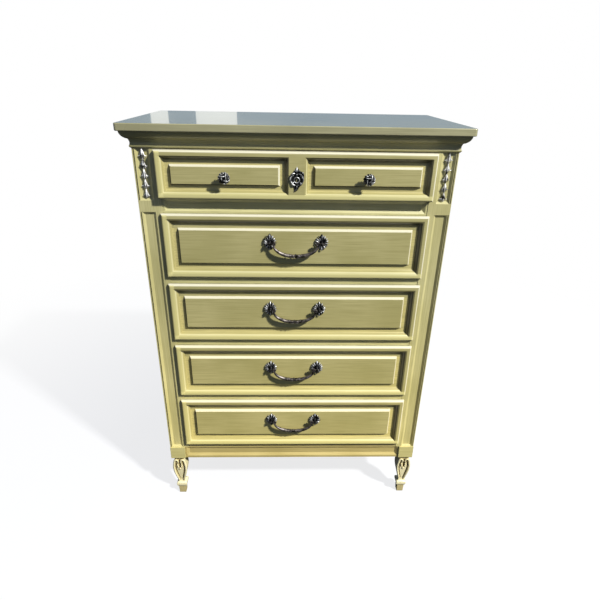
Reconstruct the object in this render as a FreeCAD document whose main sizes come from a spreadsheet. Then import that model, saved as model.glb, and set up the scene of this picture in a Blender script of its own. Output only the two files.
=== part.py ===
import FreeCAD, Part
import os
import re
import Sketcher

# Tallboy: a tall painted chest of five drawers on four lyre feet.
# The row frame has its origin on the floor, midway between the knobs' tips and the back of the case.
# Every piece is drawn in the case's own frame and then moved in depth as a whole:
# X to the right from the middle, Y back from the face of the stiles, Z up from the floor.

# Sizes in millimetres
SIZES = {
    # Case, from the floor up
    "case_width": 900,
    "case_depth": 473,
    "foot_height": 178,
    "block_height": 52,
    "bottom_rail_height": 25,
    "opening_height": 183,
    "rail_height": 37,
    "waist_rail_height": 59,
    "top_opening_height": 119,
    "top_rail_height": 55,
    "slab_thickness": 20,
    "slab_overhang": 30,
    "slab_front_overhang": 35,
    "slab_corner_radius": 8,
    "slab_edge_radius": 2.5,
    # Boards of the case
    "stile_width": 67,
    "stile_thickness": 22,
    "rail_setback": 1.5,
    "side_thickness": 18,
    "back_thickness": 8,
    "bottom_thickness": 12,
    "post_width": 40,
    "back_rail_thickness": 20,
    # Cornice
    "cornice_height": 46,
    "cornice_reach": 23,
    # Sunk panels of the stiles
    "stile_rim": 7,
    "stile_panel_width": 39,
    "stile_slope": 7,
    "stile_sink": 6,
    "waist_block_height": 33,
    "waist_block_drop": 9,
    "panel_cover": 9,
    "quirk_offset": 3,
    "quirk_width": 2.6,
    "quirk_depth": 3,
    # Sunk panels of the rails and the sides
    "rail_slope": 9,
    "rail_sink": 6,
    "rail_panel_end": 6,
    "waist_panel_low": 13,
    "waist_panel_height": 36,
    "base_panel_low": 9,
    "base_panel_height": 40,
    "side_panel_margin": 58,
    "side_panel_slope": 14,
    "side_panel_sink": 6,
    # Base blocks and feet
    "block_width": 53,
    "block_depth": 50,
    "block_proud": 4,
    "block_edge_radius": 2.5,
    "base_rail_thickness": 21,
    "foot_setback": 2,
    "foot_half_width": 26,
    "foot_depth": 46,
    "foot_recess": 4,
    "foot_slit_width": 5,
    "foot_slit_depth": 9,
    # Drawer fronts
    "lip_overlap": 7,
    "lip_gap": 0.3,
    "lip_radius": 8,
    "front_projection": 12,
    "top_projection": 22,
    "front_rim": 14,
    "front_slope": 18,
    "top_slope": 13,
    "sink_depth": 14,
    "channel_width": 11,
    "field_bevel": 5,
    "field_rise": 9,
    "muntin_width": 45,
    "tongue_thickness": 10,
    "tongue_clearance": 1.5,
    # Drawer boxes
    "box_clearance": 3,
    "box_lift": 2.3,
    "box_length": 420,
    "box_headroom": 24,
    "box_wall": 12,
    "box_back_drop": 8,
    "box_bottom_rise": 10,
    "box_bottom_thickness": 5,
    "box_groove": 6,
    # Runners and dust panels
    "rest_gap": 0.3,
    "runner_width": 72,
    "runner_thickness": 13,
    "guide_width": 16,
    "guide_height": 14,
    "guide_gap": 0.5,
    "dust_thickness": 4,
    "dust_groove": 6,
    "dust_rise": 4,
    # Bail pulls
    "pull_rise": 17,
    "rosette_width": 43,
    "rosette_height": 53,
    "rosette_dome": 6,
    "stalk_radius": 4.6,
    "stalk_reach": 16,
    "eye_radius": 6.4,
    "eye_gap": 0.5,
    "pin_radius": 2.5,
    "pin_gap": 0.08,
    "bail_half_width": 65.7,
    "bail_drop": 37,
    "bail_radius": 4,
    "bail_knot_radius": 5.6,
    "bail_knot_length": 24,
    "knuckle_radius": 4.4,
    "stud_radius": 2.5,
    "stud_gap": 0.2,
    "stud_excess": 8,
    "nut_radius": 6,
    "nut_thickness": 4,
    # Knobs and escutcheon
    "knob_length": 30,
    "knob_radius": 17.2,
    "knob_drop": 3,
    "escutcheon_width": 41,
    "escutcheon_height": 67,
    "escutcheon_thickness": 4,
    "escutcheon_drop": 6,
    "keyhole_radius": 3.2,
    "keyhole_slot": 3,
    "keyhole_length": 9,
    # Husk drops
    "husk_lift": 10,
    "husk_length": 134,
    "husk_half_width": 10,
    "husk_rib_half_width": 5.5,
    "husk_rise": 7,
    # Screws of the back panel
    "screw_radius": 2,
    "screw_gap": 0.1,
    "screw_head_radius": 4,
    "screw_head_height": 1.2,
    "screw_length": 18,
    "screw_inset": 14,
    # How far cuts run past a face
    "overrun": 2,
}

DEEP_DRAWERS = 4
HUSK_COUNT = 5
SCREWS_PER_SIDE = 5

# Outlines in shares of two named sizes; an "arc" point lies midway on the arc between its neighbours
CORNICE_SHARES = [
    (0, 0), (-0.05, 0), (-0.13, 0.04), ("arc", -0.19, 0.09), (-0.17, 0.15), ("arc", -0.1, 0.28), (-0.17, 0.44),
    (-0.2, 0.5), (-0.28, 0.53), ("arc", -0.72, 0.67), (-1, 0.97), (-1, 1), (0, 1),
]
MITRE_SHARES = [(0, 0), (-1.2, -1.2), (-1.2, 0)]
RETURN_MITRE_SHARES = [(0, 0), (-1.2, -1.2), (0, -1.2)]
OGEE_SHARES = [(0, 0), (0.25, 0.12), (0.4, 0.32), (0.6, 0.72), (0.75, 0.9), (1, 1)]
FOOT_HALF_SHARES = [
    (0.68, 1), (0.68, 0.965), ("arc", 1, 0.76), (0.72, 0.506), ("arc", 0.51, 0.382), (0.434, 0.32),
    (0.7, 0.283), (0.7, 0.236), (0.6, 0.208), (0.51, 0.197), (0.45, 0),
]
FOOT_SIDE_SHARES = [
    (0, 1), (0, 0.76), ("arc", 0.03, 0.53), (0.15, 0.32), (0, 0.283), (0, 0.236), (0.07, 0.2), (0.1, 0),
    (0.6, 0), (0.66, 0.2), (0.78, 0.225), (0.78, 0.29), (0.56, 0.33), ("arc", 0.7, 0.53), (0.96, 0.75),
    (1, 0.9), (1, 1),
]
FOOT_STOCK_SHARES = [(-0.5, -0.5), (1.5, -0.5), (1.5, 1.5), (-0.5, 1.5)]
FOOT_FIELD_SHARES = [(-0.08, 0.36), (0.08, 0.36), (0.36, 0.6), (0.45, 0.7), (-0.45, 0.7), (-0.36, 0.6)]
FOOT_SLIT_SHARES = (0.72, 0.95)
KNOB_SHARES = [
    (0, 0), (0.5, 0), (0.5, -0.08), (0.3, -0.2), (0.3, -0.42), (0.92, -0.5), ("arc", 1, -0.62), (0.92, -0.74),
    (0.78, -0.86), (0.5, -0.95), (0.2, -1), (0, -1),
]
BAIL_SHARES = [(0, -1), ("arc", 0.4306, -0.8896), (0.8259, -0.5675), ("arc", 0.9537, -0.3231), (1, 0)]
ESCUTCHEON_SHARES = [
    (0.02, 0.5), (0.14, 0.34), (0.3, 0.3), (0.38, 0.17), (0.5, 0.08), (0.44, -0.12), (0.34, -0.27),
    (0.14, -0.36), (-0.06, -0.5), (-0.2, -0.43), (-0.34, -0.27), (-0.47, -0.12), (-0.5, 0.06), (-0.4, 0.22),
    (-0.2, 0.33), (-0.1, 0.41),
]
HUSK_TAPER_SHARE = 0.035
HUSK_RIB_SHARES = {"middle": 0.55, "half_length": 0.55, "rise": 1}
HUSK_LEAF_SHARES = {"middle": 0.3, "half_length": 0.16, "rise": 0.6}

doc = FreeCAD.newDocument("tallboy")
sheet = doc.addObject("Spreadsheet::Sheet", "Sizes")
for row, (alias, value) in enumerate(SIZES.items(), start=1):
    sheet.set(f"A{row}", alias)
    sheet.set(f"B{row}", str(value))
    sheet.setAlias(f"B{row}", alias)
doc.recompute()

SUBPARTS = []

# Heights that several pieces share
BLOCK_TOP = "(foot_height + block_height)"
BASE_TOP = f"({BLOCK_TOP} + bottom_rail_height)"
WAIST_LOW = f"({BASE_TOP} + {DEEP_DRAWERS} * opening_height + {DEEP_DRAWERS - 1} * rail_height)"
TOP_OPENING_LOW = f"({WAIST_LOW} + waist_rail_height)"
TOP_RAIL_LOW = f"({TOP_OPENING_LOW} + top_opening_height)"
SLAB_LOW = f"({TOP_RAIL_LOW} + top_rail_height)"
CORNICE_LOW = f"({SLAB_LOW} - cornice_height)"
WAIST_BLOCK_TOP = f"({TOP_OPENING_LOW} - lip_overlap - waist_block_drop)"

# Widths and depths that several pieces share
HALF_CASE = "(case_width / 2)"
HALF_OPENING = "(case_width / 2 - stile_width)"
HALF_INSIDE = "(case_width / 2 - side_thickness)"
HALF_APRON = "(case_width / 2 - block_width)"
HALF_BOX = f"({HALF_OPENING} - box_clearance)"
HALF_BOX_INSIDE = f"({HALF_BOX} - box_wall)"
HALF_FRONT = f"({HALF_OPENING} + lip_overlap)"
FOOT_CENTRE = "(case_width / 2 - block_width / 2)"
STILE_PANEL_FAR = "(case_width / 2 - stile_rim)"
STILE_PANEL_NEAR = f"({STILE_PANEL_FAR} - stile_panel_width)"
BACK_FACE = "(case_depth - back_thickness)"
POST_FRONT = f"({BACK_FACE} - post_width)"
BOX_BACK = "(tongue_thickness + box_length)"
TOP_FIELD = "(sink_depth - field_rise - top_projection)"
DEEP_FIELD = "(sink_depth - field_rise - front_projection)"
STALK_OFFSET = "(bail_half_width + knuckle_radius + eye_gap + eye_radius)"
CASE_SHIFT = f"((knob_length - {TOP_FIELD} - case_depth) / 2)"


def formula(text):
    """Turn the size names in a formula into references to the sheet."""
    return re.sub(r"[a-z_]+", lambda word: f"Sizes.{word[0]}" if word[0] in SIZES else word[0], text)


def bind(feature, **properties):
    """Bind properties to formulas; Base_x stands for Placement.Base.x."""
    for name, text in properties.items():
        feature.setExpression(name.replace("Base_", "Placement.Base."), formula(text))


def both(half):
    """Span from minus a half to plus a half."""
    return (f"-({half})", f"({half})")


def on_side(side, near, far):
    """Span between two distances from the middle, on the left (-1) or on the right (+1)."""
    return (near, far) if side > 0 else (f"-({far})", f"-({near})")


def rising(low, height):
    """Span from a low value up by a height."""
    return (low, f"({low}) + ({height})")


def inset(span, width):
    """Span drawn in by a width at both ends."""
    return (f"({span[0]}) + {width}", f"({span[1]}) - {width}")


def new_body(label, x="0", y="0", z="0"):
    """Start a sub-part, with its own origin at a place in the case's frame."""
    body = doc.addObject("PartDesign::Body", label)
    body.Label = label
    bind(body, Base_x=x, Base_y=f"{CASE_SHIFT} + {y}", Base_z=z)
    SUBPARTS.append(body)
    return body


def primitive(body, shape, cut=False):
    """Add or cut one primitive, such as Box or Cylinder."""
    kind = "Subtractive" if cut else "Additive"
    return body.newObject(f"PartDesign::{kind}{shape}", f"{kind}{shape}")


def box(body, x, y, z, cut=False):
    """Box between three spans."""
    feature = primitive(body, "Box", cut)
    bind(feature, Length=f"({x[1]}) - ({x[0]})", Width=f"({y[1]}) - ({y[0]})", Height=f"({z[1]}) - ({z[0]})")
    bind(feature, Base_x=x[0], Base_y=y[0], Base_z=z[0])
    return feature


def wedge(body, front, back, y, turn=0, cut=False):
    """Frustum along Y between two rectangles, each a span in X and a span in Z."""
    feature = primitive(body, "Wedge", cut)
    feature.Placement.Rotation = FreeCAD.Rotation(FreeCAD.Vector(0, 0, 1), turn)
    bind(feature, Xmin=front[0][0], Xmax=front[0][1], Zmin=front[1][0], Zmax=front[1][1])
    bind(feature, X2min=back[0][0], X2max=back[0][1], Z2min=back[1][0], Z2max=back[1][1])
    bind(feature, Ymin=y[0], Ymax=y[1])
    return feature


def sink(body, x, z, face, depth, slope, turn=0):
    """Sunk panel with sloping sides, cut back from a face."""
    floor = (inset(x, slope), inset(z, slope))
    return wedge(body, (x, z), floor, rising(face, depth), turn, cut=True)


def moulded_sink(body, x, z, face, depth, slope):
    """Sunk panel with ogee sides, cut back from a face in a few flats."""
    for near, far in zip(OGEE_SHARES, OGEE_SHARES[1:]):
        front = (inset(x, f"{near[0]} * {slope}"), inset(z, f"{near[0]} * {slope}"))
        back = (inset(x, f"{far[0]} * {slope}"), inset(z, f"{far[0]} * {slope}"))
        wedge(body, front, back, (f"{face} + {near[1]} * {depth}", f"{face} + {far[1]} * {depth}"), cut=True)


def raised_field(body, x, z, floor):
    """Raised field with bevelled sides on the floor of a sunk panel."""
    top = (inset(x, "field_bevel"), inset(z, "field_bevel"))
    return wedge(body, top, (x, z), (f"({floor}) - field_rise", floor))


AXES = {
    "x": FreeCAD.Rotation(FreeCAD.Vector(0, 1, 0), 90),
    "y": FreeCAD.Rotation(FreeCAD.Vector(1, 0, 0), -90),
}


def cylinder(body, axis, start, radius, length, cut=False):
    """Cylinder from a start point along the X or Y axis."""
    feature = primitive(body, "Cylinder", cut)
    feature.Placement.Rotation = AXES[axis]
    bind(feature, Radius=radius, Height=length, Base_x=start[0], Base_y=start[1], Base_z=start[2])
    return feature


def ellipsoid(body, centre, radii):
    """Ellipsoid with its radii along X, Y and Z."""
    feature = primitive(body, "Ellipsoid")
    bind(feature, Radius2=radii[0], Radius3=radii[1], Radius1=radii[2])
    bind(feature, Base_x=centre[0], Base_y=centre[1], Base_z=centre[2])
    return feature


def sphere(body, centre, radius):
    """Sphere about a point."""
    feature = primitive(body, "Sphere")
    bind(feature, Radius=radius, Base_x=centre[0], Base_y=centre[1], Base_z=centre[2])
    return feature


def cone(body, start, radii, length, turn):
    """Cone along X from a start point, to the right, or to the left where turned half round."""
    feature = primitive(body, "Cone")
    feature.Placement.Rotation = FreeCAD.Rotation(FreeCAD.Vector(0, 0, 1), turn) * AXES["x"]
    bind(feature, Radius1=radii[0], Radius2=radii[1], Height=length)
    bind(feature, Base_x=start[0], Base_y=start[1], Base_z=start[2])
    return feature


def origin_feature(body, role):
    """Plane or axis of a body's own origin, such as XZ_Plane."""
    return next(item for item in body.Origin.OriginFeatures if item.Role == role)


def empty_sketch(body, role, offset=("0", "0", "0")):
    """Sketch on an origin plane, moved in the plane's own frame."""
    sketch = body.newObject("Sketcher::SketchObject", "Outline")
    sketch.AttachmentSupport = [(origin_feature(body, role), "")]
    sketch.MapMode = "FlatFace"
    for axis, text in zip("xyz", offset):
        sketch.setExpression(f"AttachmentOffset.Base.{axis}", formula(text))
    return sketch


def hold_point(sketch, index, position, share, sizes):
    """Hold an edge's end, or a lone point, at shares of two sizes."""
    for kind, part_share, size in zip(("DistanceX", "DistanceY"), share, sizes):
        constraint = Sketcher.Constraint(kind, -1, 1, index, position, part_share * SIZES[size])
        held = sketch.addConstraint(constraint)
        sketch.setExpression(f"Constraints[{held}]", formula(f"{part_share} * {size}"))


def guess_point(share, sizes):
    """First place of a sketch's point."""
    return FreeCAD.Vector(share[0] * SIZES[sizes[0]], share[1] * SIZES[sizes[1]], 0)


def add_edge(sketch, start, through, end, sizes):
    """Line or arc; returns its index and which of its ends is the start."""
    first, last = guess_point(start, sizes), guess_point(end, sizes)
    if through is None:
        return sketch.addGeometry(Part.LineSegment(first, last), False), 1
    index = sketch.addGeometry(Part.Arc(first, guess_point(through, sizes), last), False)
    point = sketch.addGeometry(Part.Point(guess_point(through, sizes)), True)
    hold_point(sketch, point, 1, through, sizes)
    sketch.addConstraint(Sketcher.Constraint("PointOnObject", point, 1, index))
    near_first = sketch.getPoint(index, 1).distanceToPoint(first)
    near_last = sketch.getPoint(index, 1).distanceToPoint(last)
    return index, 1 if near_first < near_last else 2


def outline(sketch, shares, sizes, closed=True):
    """Lines and arcs through points given as shares of two named sizes."""
    corners = [place for place, item in enumerate(shares) if item[0] != "arc"]
    edges = []
    for order, place in enumerate(corners[:None if closed else -1]):
        end = shares[corners[(order + 1) % len(corners)]]
        following = shares[(place + 1) % len(shares)]
        through = following[1:] if following[0] == "arc" else None
        index, first_end = add_edge(sketch, shares[place], through, end, sizes)
        hold_point(sketch, index, first_end, shares[place], sizes)
        edges.append((index, first_end))
    for (index, first_end), (other, other_end) in zip(edges, edges[1:]):
        sketch.addConstraint(Sketcher.Constraint("Coincident", index, 3 - first_end, other, other_end))
    last_index, last_end = edges[-1]
    if closed:
        sketch.addConstraint(Sketcher.Constraint("Coincident", last_index, 3 - last_end, *edges[0]))
    else:
        hold_point(sketch, last_index, 3 - last_end, shares[corners[-1]], sizes)
    return sketch


def pad(body, sketch, length, flip=False, middle=False):
    """Solid between a sketch and its copy a length away."""
    feature = body.newObject("PartDesign::Pad", "Pad")
    feature.Profile = sketch
    feature.Reversed = flip
    feature.Midplane = middle
    bind(feature, Length=length)
    return feature


def pocket(body, sketch, length, flip=False, middle=False):
    """Cut between a sketch and its copy a length away."""
    feature = body.newObject("PartDesign::Pocket", "Pocket")
    feature.Profile = sketch
    feature.Reversed = flip
    feature.Midplane = middle
    bind(feature, Length=length)
    return feature


def fillet(body, base, chosen, radius):
    """Round the chosen edges of a feature."""
    doc.recompute()
    edges = enumerate(base.Shape.Edges, start=1)
    names = [f"Edge{place}" for place, edge in edges if chosen(edge, base.Shape)]
    feature = body.newObject("PartDesign::Fillet", "Fillet")
    feature.Base = (base, names)
    bind(feature, Radius=radius)
    return feature


def is_small(length):
    """True for a length that is only rounding error."""
    return round(length, 4) == 0


def upright(edge, shape):
    """True for an edge that runs along Z."""
    return is_small(edge.BoundBox.XLength) and is_small(edge.BoundBox.YLength)


def front_corner(edge, shape):
    """True for an upright edge on the frontmost face."""
    return upright(edge, shape) and is_small(edge.BoundBox.YMin - shape.BoundBox.YMin)


def on_front(edge, shape):
    """True for an edge that lies in the frontmost face."""
    return is_small(edge.BoundBox.YMax - shape.BoundBox.YMin)


def on_level(edge, shape):
    """True for an edge that lies in the highest or the lowest face."""
    above = edge.BoundBox.ZMin - shape.BoundBox.ZMax
    below = edge.BoundBox.ZMax - shape.BoundBox.ZMin
    return is_small(above) or is_small(below)


def at_foot_end(edge, shape):
    """True for an edge that lies in the lowest face."""
    return is_small(edge.BoundBox.ZMax - shape.BoundBox.ZMin)


def make_slab():
    """Top slab with rounded front corners and eased edges."""
    body = new_body("top_slab")
    board = box(body, both(f"{HALF_CASE} + slab_overhang"), ("-slab_front_overhang", "case_depth"),
                rising(SLAB_LOW, "slab_thickness"))
    corners = fillet(body, board, front_corner, "slab_corner_radius")
    fillet(body, corners, on_level, "slab_edge_radius")


CORNICE_SIZES = ("cornice_reach", "cornice_height")


def mirrored(shares):
    """Outline with its first share changed in sign."""
    return [("arc", -item[1], item[2]) if item[0] == "arc" else (-item[0], item[1]) for item in shares]


def mitre(body, side, x_shares):
    """Cut a moulding to 45 degrees at one front corner of the case."""
    sketch = empty_sketch(body, "XY_Plane", (f"{side} * {HALF_CASE}", "0", CORNICE_LOW))
    outline(sketch, x_shares, ("cornice_reach", "cornice_reach"))
    pocket(body, sketch, "cornice_height + overrun", flip=True)


def make_cornice():
    """Cornice moulding: one front length and two returns, mitred at the corners."""
    body = new_body("cornice_front")
    sketch = empty_sketch(body, "YZ_Plane", ("0", CORNICE_LOW, "0"))
    outline(sketch, CORNICE_SHARES, CORNICE_SIZES)
    pad(body, sketch, "case_width + 2 * cornice_reach", middle=True)
    for side in (-1, 1):
        mitre(body, side, MITRE_SHARES if side < 0 else mirrored(MITRE_SHARES))
    for side, name in ((-1, "left"), (1, "right")):
        body = new_body(f"cornice_{name}")
        sketch = empty_sketch(body, "XZ_Plane", (f"{side} * {HALF_CASE}", CORNICE_LOW, "cornice_reach"))
        outline(sketch, CORNICE_SHARES if side < 0 else mirrored(CORNICE_SHARES), CORNICE_SIZES)
        pad(body, sketch, "case_depth + cornice_reach", flip=True)
        mitre(body, side, RETURN_MITRE_SHARES if side < 0 else mirrored(RETURN_MITRE_SHARES))


def make_stiles():
    """Front stiles with a long and a short sunk panel, parted by a plain block."""
    for side, name in ((-1, "left"), (1, "right")):
        body = new_body(f"stile_{name}")
        box(body, on_side(side, HALF_OPENING, HALF_CASE), ("0", "stile_thickness"), (BLOCK_TOP, SLAB_LOW))
        long_panel = (BLOCK_TOP, f"{WAIST_BLOCK_TOP} - waist_block_height")
        short_panel = (WAIST_BLOCK_TOP, f"{CORNICE_LOW} + panel_cover")
        width = on_side(side, STILE_PANEL_NEAR, STILE_PANEL_FAR)
        quirk = on_side(side, f"{HALF_CASE} - quirk_offset - quirk_width", f"{HALF_CASE} - quirk_offset")
        for panel in (long_panel, short_panel):
            sink(body, width, panel, "0", "stile_sink", "stile_slope")
            box(body, quirk, ("0", "quirk_depth"), panel, cut=True)


def make_rails():
    """Rails between the stiles: top rail, moulded waist rail, three plain drawer rails and the base rail."""
    depth = ("rail_setback", "stile_thickness")
    box(new_body("top_rail"), both(HALF_OPENING), depth, (TOP_RAIL_LOW, SLAB_LOW))
    waist = new_body("waist_rail")
    box(waist, both(HALF_OPENING), depth, (WAIST_LOW, TOP_OPENING_LOW))
    panel = (inset(both(HALF_OPENING), "rail_panel_end"),
             rising(f"{WAIST_LOW} + waist_panel_low", "waist_panel_height"))
    sink(waist, *panel, "rail_setback", "rail_sink", "rail_slope")
    plain = new_body("drawer_rails")
    for order in range(1, DEEP_DRAWERS):
        low = f"({BASE_TOP} + {order} * opening_height + {order - 1} * rail_height)"
        box(plain, both(HALF_OPENING), depth, rising(low, "rail_height"))
    base = new_body("base_rail")
    box(base, both(HALF_OPENING), depth, (BLOCK_TOP, BASE_TOP))
    box(base, both(HALF_APRON), ("rail_setback", "base_rail_thickness"), ("foot_height", BLOCK_TOP))
    panel = (inset(both(HALF_APRON), "rail_panel_end"),
             rising("foot_height + base_panel_low", "base_panel_height"))
    sink(base, *panel, "rail_setback", "rail_sink", "rail_slope")


def make_sides():
    """Side panels and side base rails, each with a sunk panel on its outer face."""
    rails = new_body("side_base_rails")
    for side, name in ((-1, "left"), (1, "right")):
        depth = ("stile_thickness", "case_depth")
        height = (BLOCK_TOP, SLAB_LOW)
        body = new_body(f"side_{name}")
        box(body, on_side(side, HALF_INSIDE, HALF_CASE), depth, height)
        panel = (on_side(side, *inset(depth, "side_panel_margin")),
                 inset((BLOCK_TOP, CORNICE_LOW), "side_panel_margin"))
        sink(body, *panel, f"-{HALF_CASE}", "side_panel_sink", "side_panel_slope", turn=90 * side)
        span = ("block_depth - block_proud", "case_depth - block_depth")
        face = f"({HALF_CASE} - rail_setback)"
        box(rails, on_side(side, f"{face} - base_rail_thickness", face), span, ("foot_height", BLOCK_TOP))
    for side in (-1, 1):
        panel = (on_side(side, *inset(span, "rail_panel_end")),
                 rising("foot_height + base_panel_low", "base_panel_height"))
        sink(rails, *panel, f"-{face}", "rail_sink", "rail_slope", turn=90 * side)


def screw_places():
    """Places of the back panel's screws in X and Z, in two columns."""
    low = f"({BLOCK_TOP} + bottom_thickness)"
    for side in (-1, 1):
        for order in range(SCREWS_PER_SIDE):
            share = (order + 0.5) / SCREWS_PER_SIDE
            yield f"{side} * ({HALF_INSIDE} - screw_inset)", f"{low} + {share} * ({SLAB_LOW} - {low})"


def cut_screw_holes(body):
    """Holes for the back panel's screws, as deep as the screws are long."""
    for x, z in screw_places():
        start = (x, "case_depth - screw_length", z)
        cylinder(body, "y", start, "screw_radius + screw_gap", "screw_length", cut=True)


def make_back():
    """Back panel with its screws, rear posts, back rails and bottom board."""
    panel = new_body("back_panel")
    box(panel, both(HALF_INSIDE), (BACK_FACE, "case_depth"), (BLOCK_TOP, SLAB_LOW))
    cut_screw_holes(panel)
    screws = new_body("back_screws")
    for x, z in screw_places():
        head_low = "case_depth - screw_head_height"
        cylinder(panel, "y", (x, head_low, z), "screw_head_radius + screw_gap", "screw_head_height", cut=True)
        cylinder(screws, "y", (x, "case_depth - screw_length + screw_gap", z), "screw_radius",
                 "screw_length - screw_gap")
        cylinder(screws, "y", (x, head_low, z), "screw_head_radius", "screw_head_height")
    posts = new_body("rear_posts")
    for side in (-1, 1):
        box(posts, on_side(side, f"{HALF_INSIDE} - post_width", HALF_INSIDE), (POST_FRONT, BACK_FACE),
            (f"{BLOCK_TOP} + bottom_thickness", SLAB_LOW))
    cut_screw_holes(posts)
    rails = new_body("back_rails")
    box(rails, both(f"{HALF_INSIDE} - post_width"), (f"{BACK_FACE} - back_rail_thickness", BACK_FACE),
        (TOP_RAIL_LOW, SLAB_LOW))
    box(rails, both(HALF_APRON), ("case_depth - base_rail_thickness", "case_depth"),
        ("foot_height", BLOCK_TOP))
    bottom = new_body("bottom_board")
    box(bottom, both(HALF_INSIDE), ("stile_thickness", BACK_FACE), rising(BLOCK_TOP, "bottom_thickness"))


def make_blocks():
    """Base blocks above the feet; the front pair stands proud of the stiles."""
    body = new_body("base_blocks")
    for side in (-1, 1):
        for depth in (rising("-block_proud", "block_depth"), ("case_depth - block_depth", "case_depth")):
            last = box(body, on_side(side, HALF_APRON, HALF_CASE), depth, ("foot_height", BLOCK_TOP))
    fillet(body, last, at_foot_end, "block_edge_radius")


def make_foot(label, side, front):
    """Lyre foot, carved from one block: scrolled leg, ankle, collar and toe."""
    y = "foot_setback - block_proud" if front else "case_depth - foot_setback"
    body = new_body(label, x=f"{side} * {FOOT_CENTRE}", y=y)
    if not front:
        body.Placement.Rotation = FreeCAD.Rotation(FreeCAD.Vector(0, 0, 1), 180)
    sizes = ("foot_half_width", "foot_height")
    left_half = list(reversed(mirrored(FOOT_HALF_SHARES)))
    face = outline(empty_sketch(body, "XZ_Plane"), FOOT_HALF_SHARES + left_half, sizes)
    pad(body, face, "foot_depth", flip=True)
    profile = empty_sketch(body, "YZ_Plane")
    outline(profile, FOOT_SIDE_SHARES, ("foot_depth", "foot_height"))
    outline(profile, FOOT_STOCK_SHARES, ("foot_depth", "foot_height"))
    pocket(body, profile, "4 * foot_half_width", middle=True)
    field = outline(empty_sketch(body, "XZ_Plane"), FOOT_FIELD_SHARES, sizes)
    pocket(body, field, "foot_recess", flip=True)
    slit = [f"{share} * foot_height" for share in FOOT_SLIT_SHARES]
    box(body, both("foot_slit_width / 2"), ("-overrun", "foot_slit_depth"), slit, cut=True)


def make_feet():
    """Four feet, the rear pair turned to face the back."""
    for front, place in ((True, "front"), (False, "rear")):
        for side, name in ((-1, "left"), (1, "right")):
            make_foot(f"foot_{place}_{name}", side, front)


def opening_low(number):
    """Height of a drawer's opening; drawer 1 is the shallow one at the top."""
    if number == 1:
        return TOP_OPENING_LOW
    return f"({BASE_TOP} + {DEEP_DRAWERS + 1 - number} * (opening_height + rail_height))"


def opening_size(number):
    """Name of the height of a drawer's opening."""
    return "top_opening_height" if number == 1 else "opening_height"


def knob_offset():
    """Distance of a knob from the middle: the middle of its panel."""
    return f"(({HALF_FRONT} - front_rim + muntin_width / 2) / 2)"


def stud_places(number):
    """Places of the hardware's studs in X and Z."""
    middle = f"{opening_low(number)} + {opening_size(number)} / 2"
    for side in (-1, 1):
        if number == 1:
            yield f"{side} * {knob_offset()}", f"{middle} - knob_drop"
        else:
            yield f"{side} * {STALK_OFFSET}", f"{middle} + pull_rise"


def front_panels(number):
    """Spans in X of a drawer front's sunk panels."""
    edge = f"({HALF_FRONT} - front_rim)"
    if number == 1:
        return [on_side(side, "muntin_width / 2", edge) for side in (-1, 1)]
    return [both(edge)]


def make_front(number):
    """Lipped drawer front with sunk channels round its raised fields."""
    body = new_body(f"drawer_{number}_front")
    face = "-top_projection" if number == 1 else "-front_projection"
    slope = "top_slope" if number == 1 else "front_slope"
    hole = (opening_low(number), f"{opening_low(number)} + {opening_size(number)}")
    lip = box(body, both(HALF_FRONT), (face, "-lip_gap"), inset(hole, "-lip_overlap"))
    fillet(body, lip, on_front, "lip_radius")
    box(body, both(f"{HALF_OPENING} - tongue_clearance"), ("-lip_gap", "tongue_thickness"),
        inset(hole, "tongue_clearance"))
    floor = f"({face} + sink_depth)"
    tall = inset(inset(hole, "-lip_overlap"), "front_rim")
    for wide in front_panels(number):
        moulded_sink(body, wide, tall, face, "sink_depth", slope)
        border = f"({slope} + channel_width)"
        raised_field(body, inset(wide, border), inset(tall, border), floor)
    for x, z in stud_places(number):
        cylinder(body, "y", (x, f"{face} - overrun", z), "stud_radius + stud_gap",
                 "top_projection + tongue_thickness + 2 * overrun", cut=True)


def make_box(number):
    """Drawer box: two grooved sides, a back and a bottom."""
    low = f"({opening_low(number)} + box_lift)"
    top = f"({low} + {opening_size(number)} - box_headroom)"
    depth = ("tongue_thickness", BOX_BACK)
    bottom = rising(f"{low} + box_bottom_rise", "box_bottom_thickness")
    sides = new_body(f"drawer_{number}_sides")
    for side in (-1, 1):
        box(sides, on_side(side, HALF_BOX_INSIDE, HALF_BOX), depth, (low, top))
    for side in (-1, 1):
        box(sides, on_side(side, HALF_BOX_INSIDE, f"{HALF_BOX_INSIDE} + box_groove"), depth, bottom, cut=True)
    box(new_body(f"drawer_{number}_back"), both(HALF_BOX_INSIDE), (f"{BOX_BACK} - box_wall", BOX_BACK),
        (bottom[1], f"{top} - box_back_drop"))
    box(new_body(f"drawer_{number}_bottom"), both(f"{HALF_BOX_INSIDE} + box_groove"), depth, bottom)


def make_runners():
    """Runners under each drawer's sides, guides on them, and dust panels held in grooves of the runners."""
    runners = new_body("drawer_runners")
    guides = new_body("drawer_guides")
    panels = new_body("dust_panels")
    depth = ("stile_thickness", POST_FRONT)
    near = f"({HALF_INSIDE} - runner_width)"
    for number in range(1, DEEP_DRAWERS + 2):
        top = f"({opening_low(number)} + box_lift - rest_gap)"
        guide = f"({HALF_BOX} + guide_gap)"
        for side in (-1, 1):
            box(runners, on_side(side, near, HALF_INSIDE), depth, (f"{top} - runner_thickness", top))
            box(guides, on_side(side, guide, f"{guide} + guide_width"), depth, rising(top, "guide_height"))
        if number <= DEEP_DRAWERS:
            level = rising(f"{top} - runner_thickness + dust_rise", "dust_thickness")
            for side in (-1, 1):
                box(runners, on_side(side, near, f"{near} + dust_groove"), depth, level, cut=True)
            box(panels, both(f"{near} + dust_groove"), depth, level)


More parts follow.
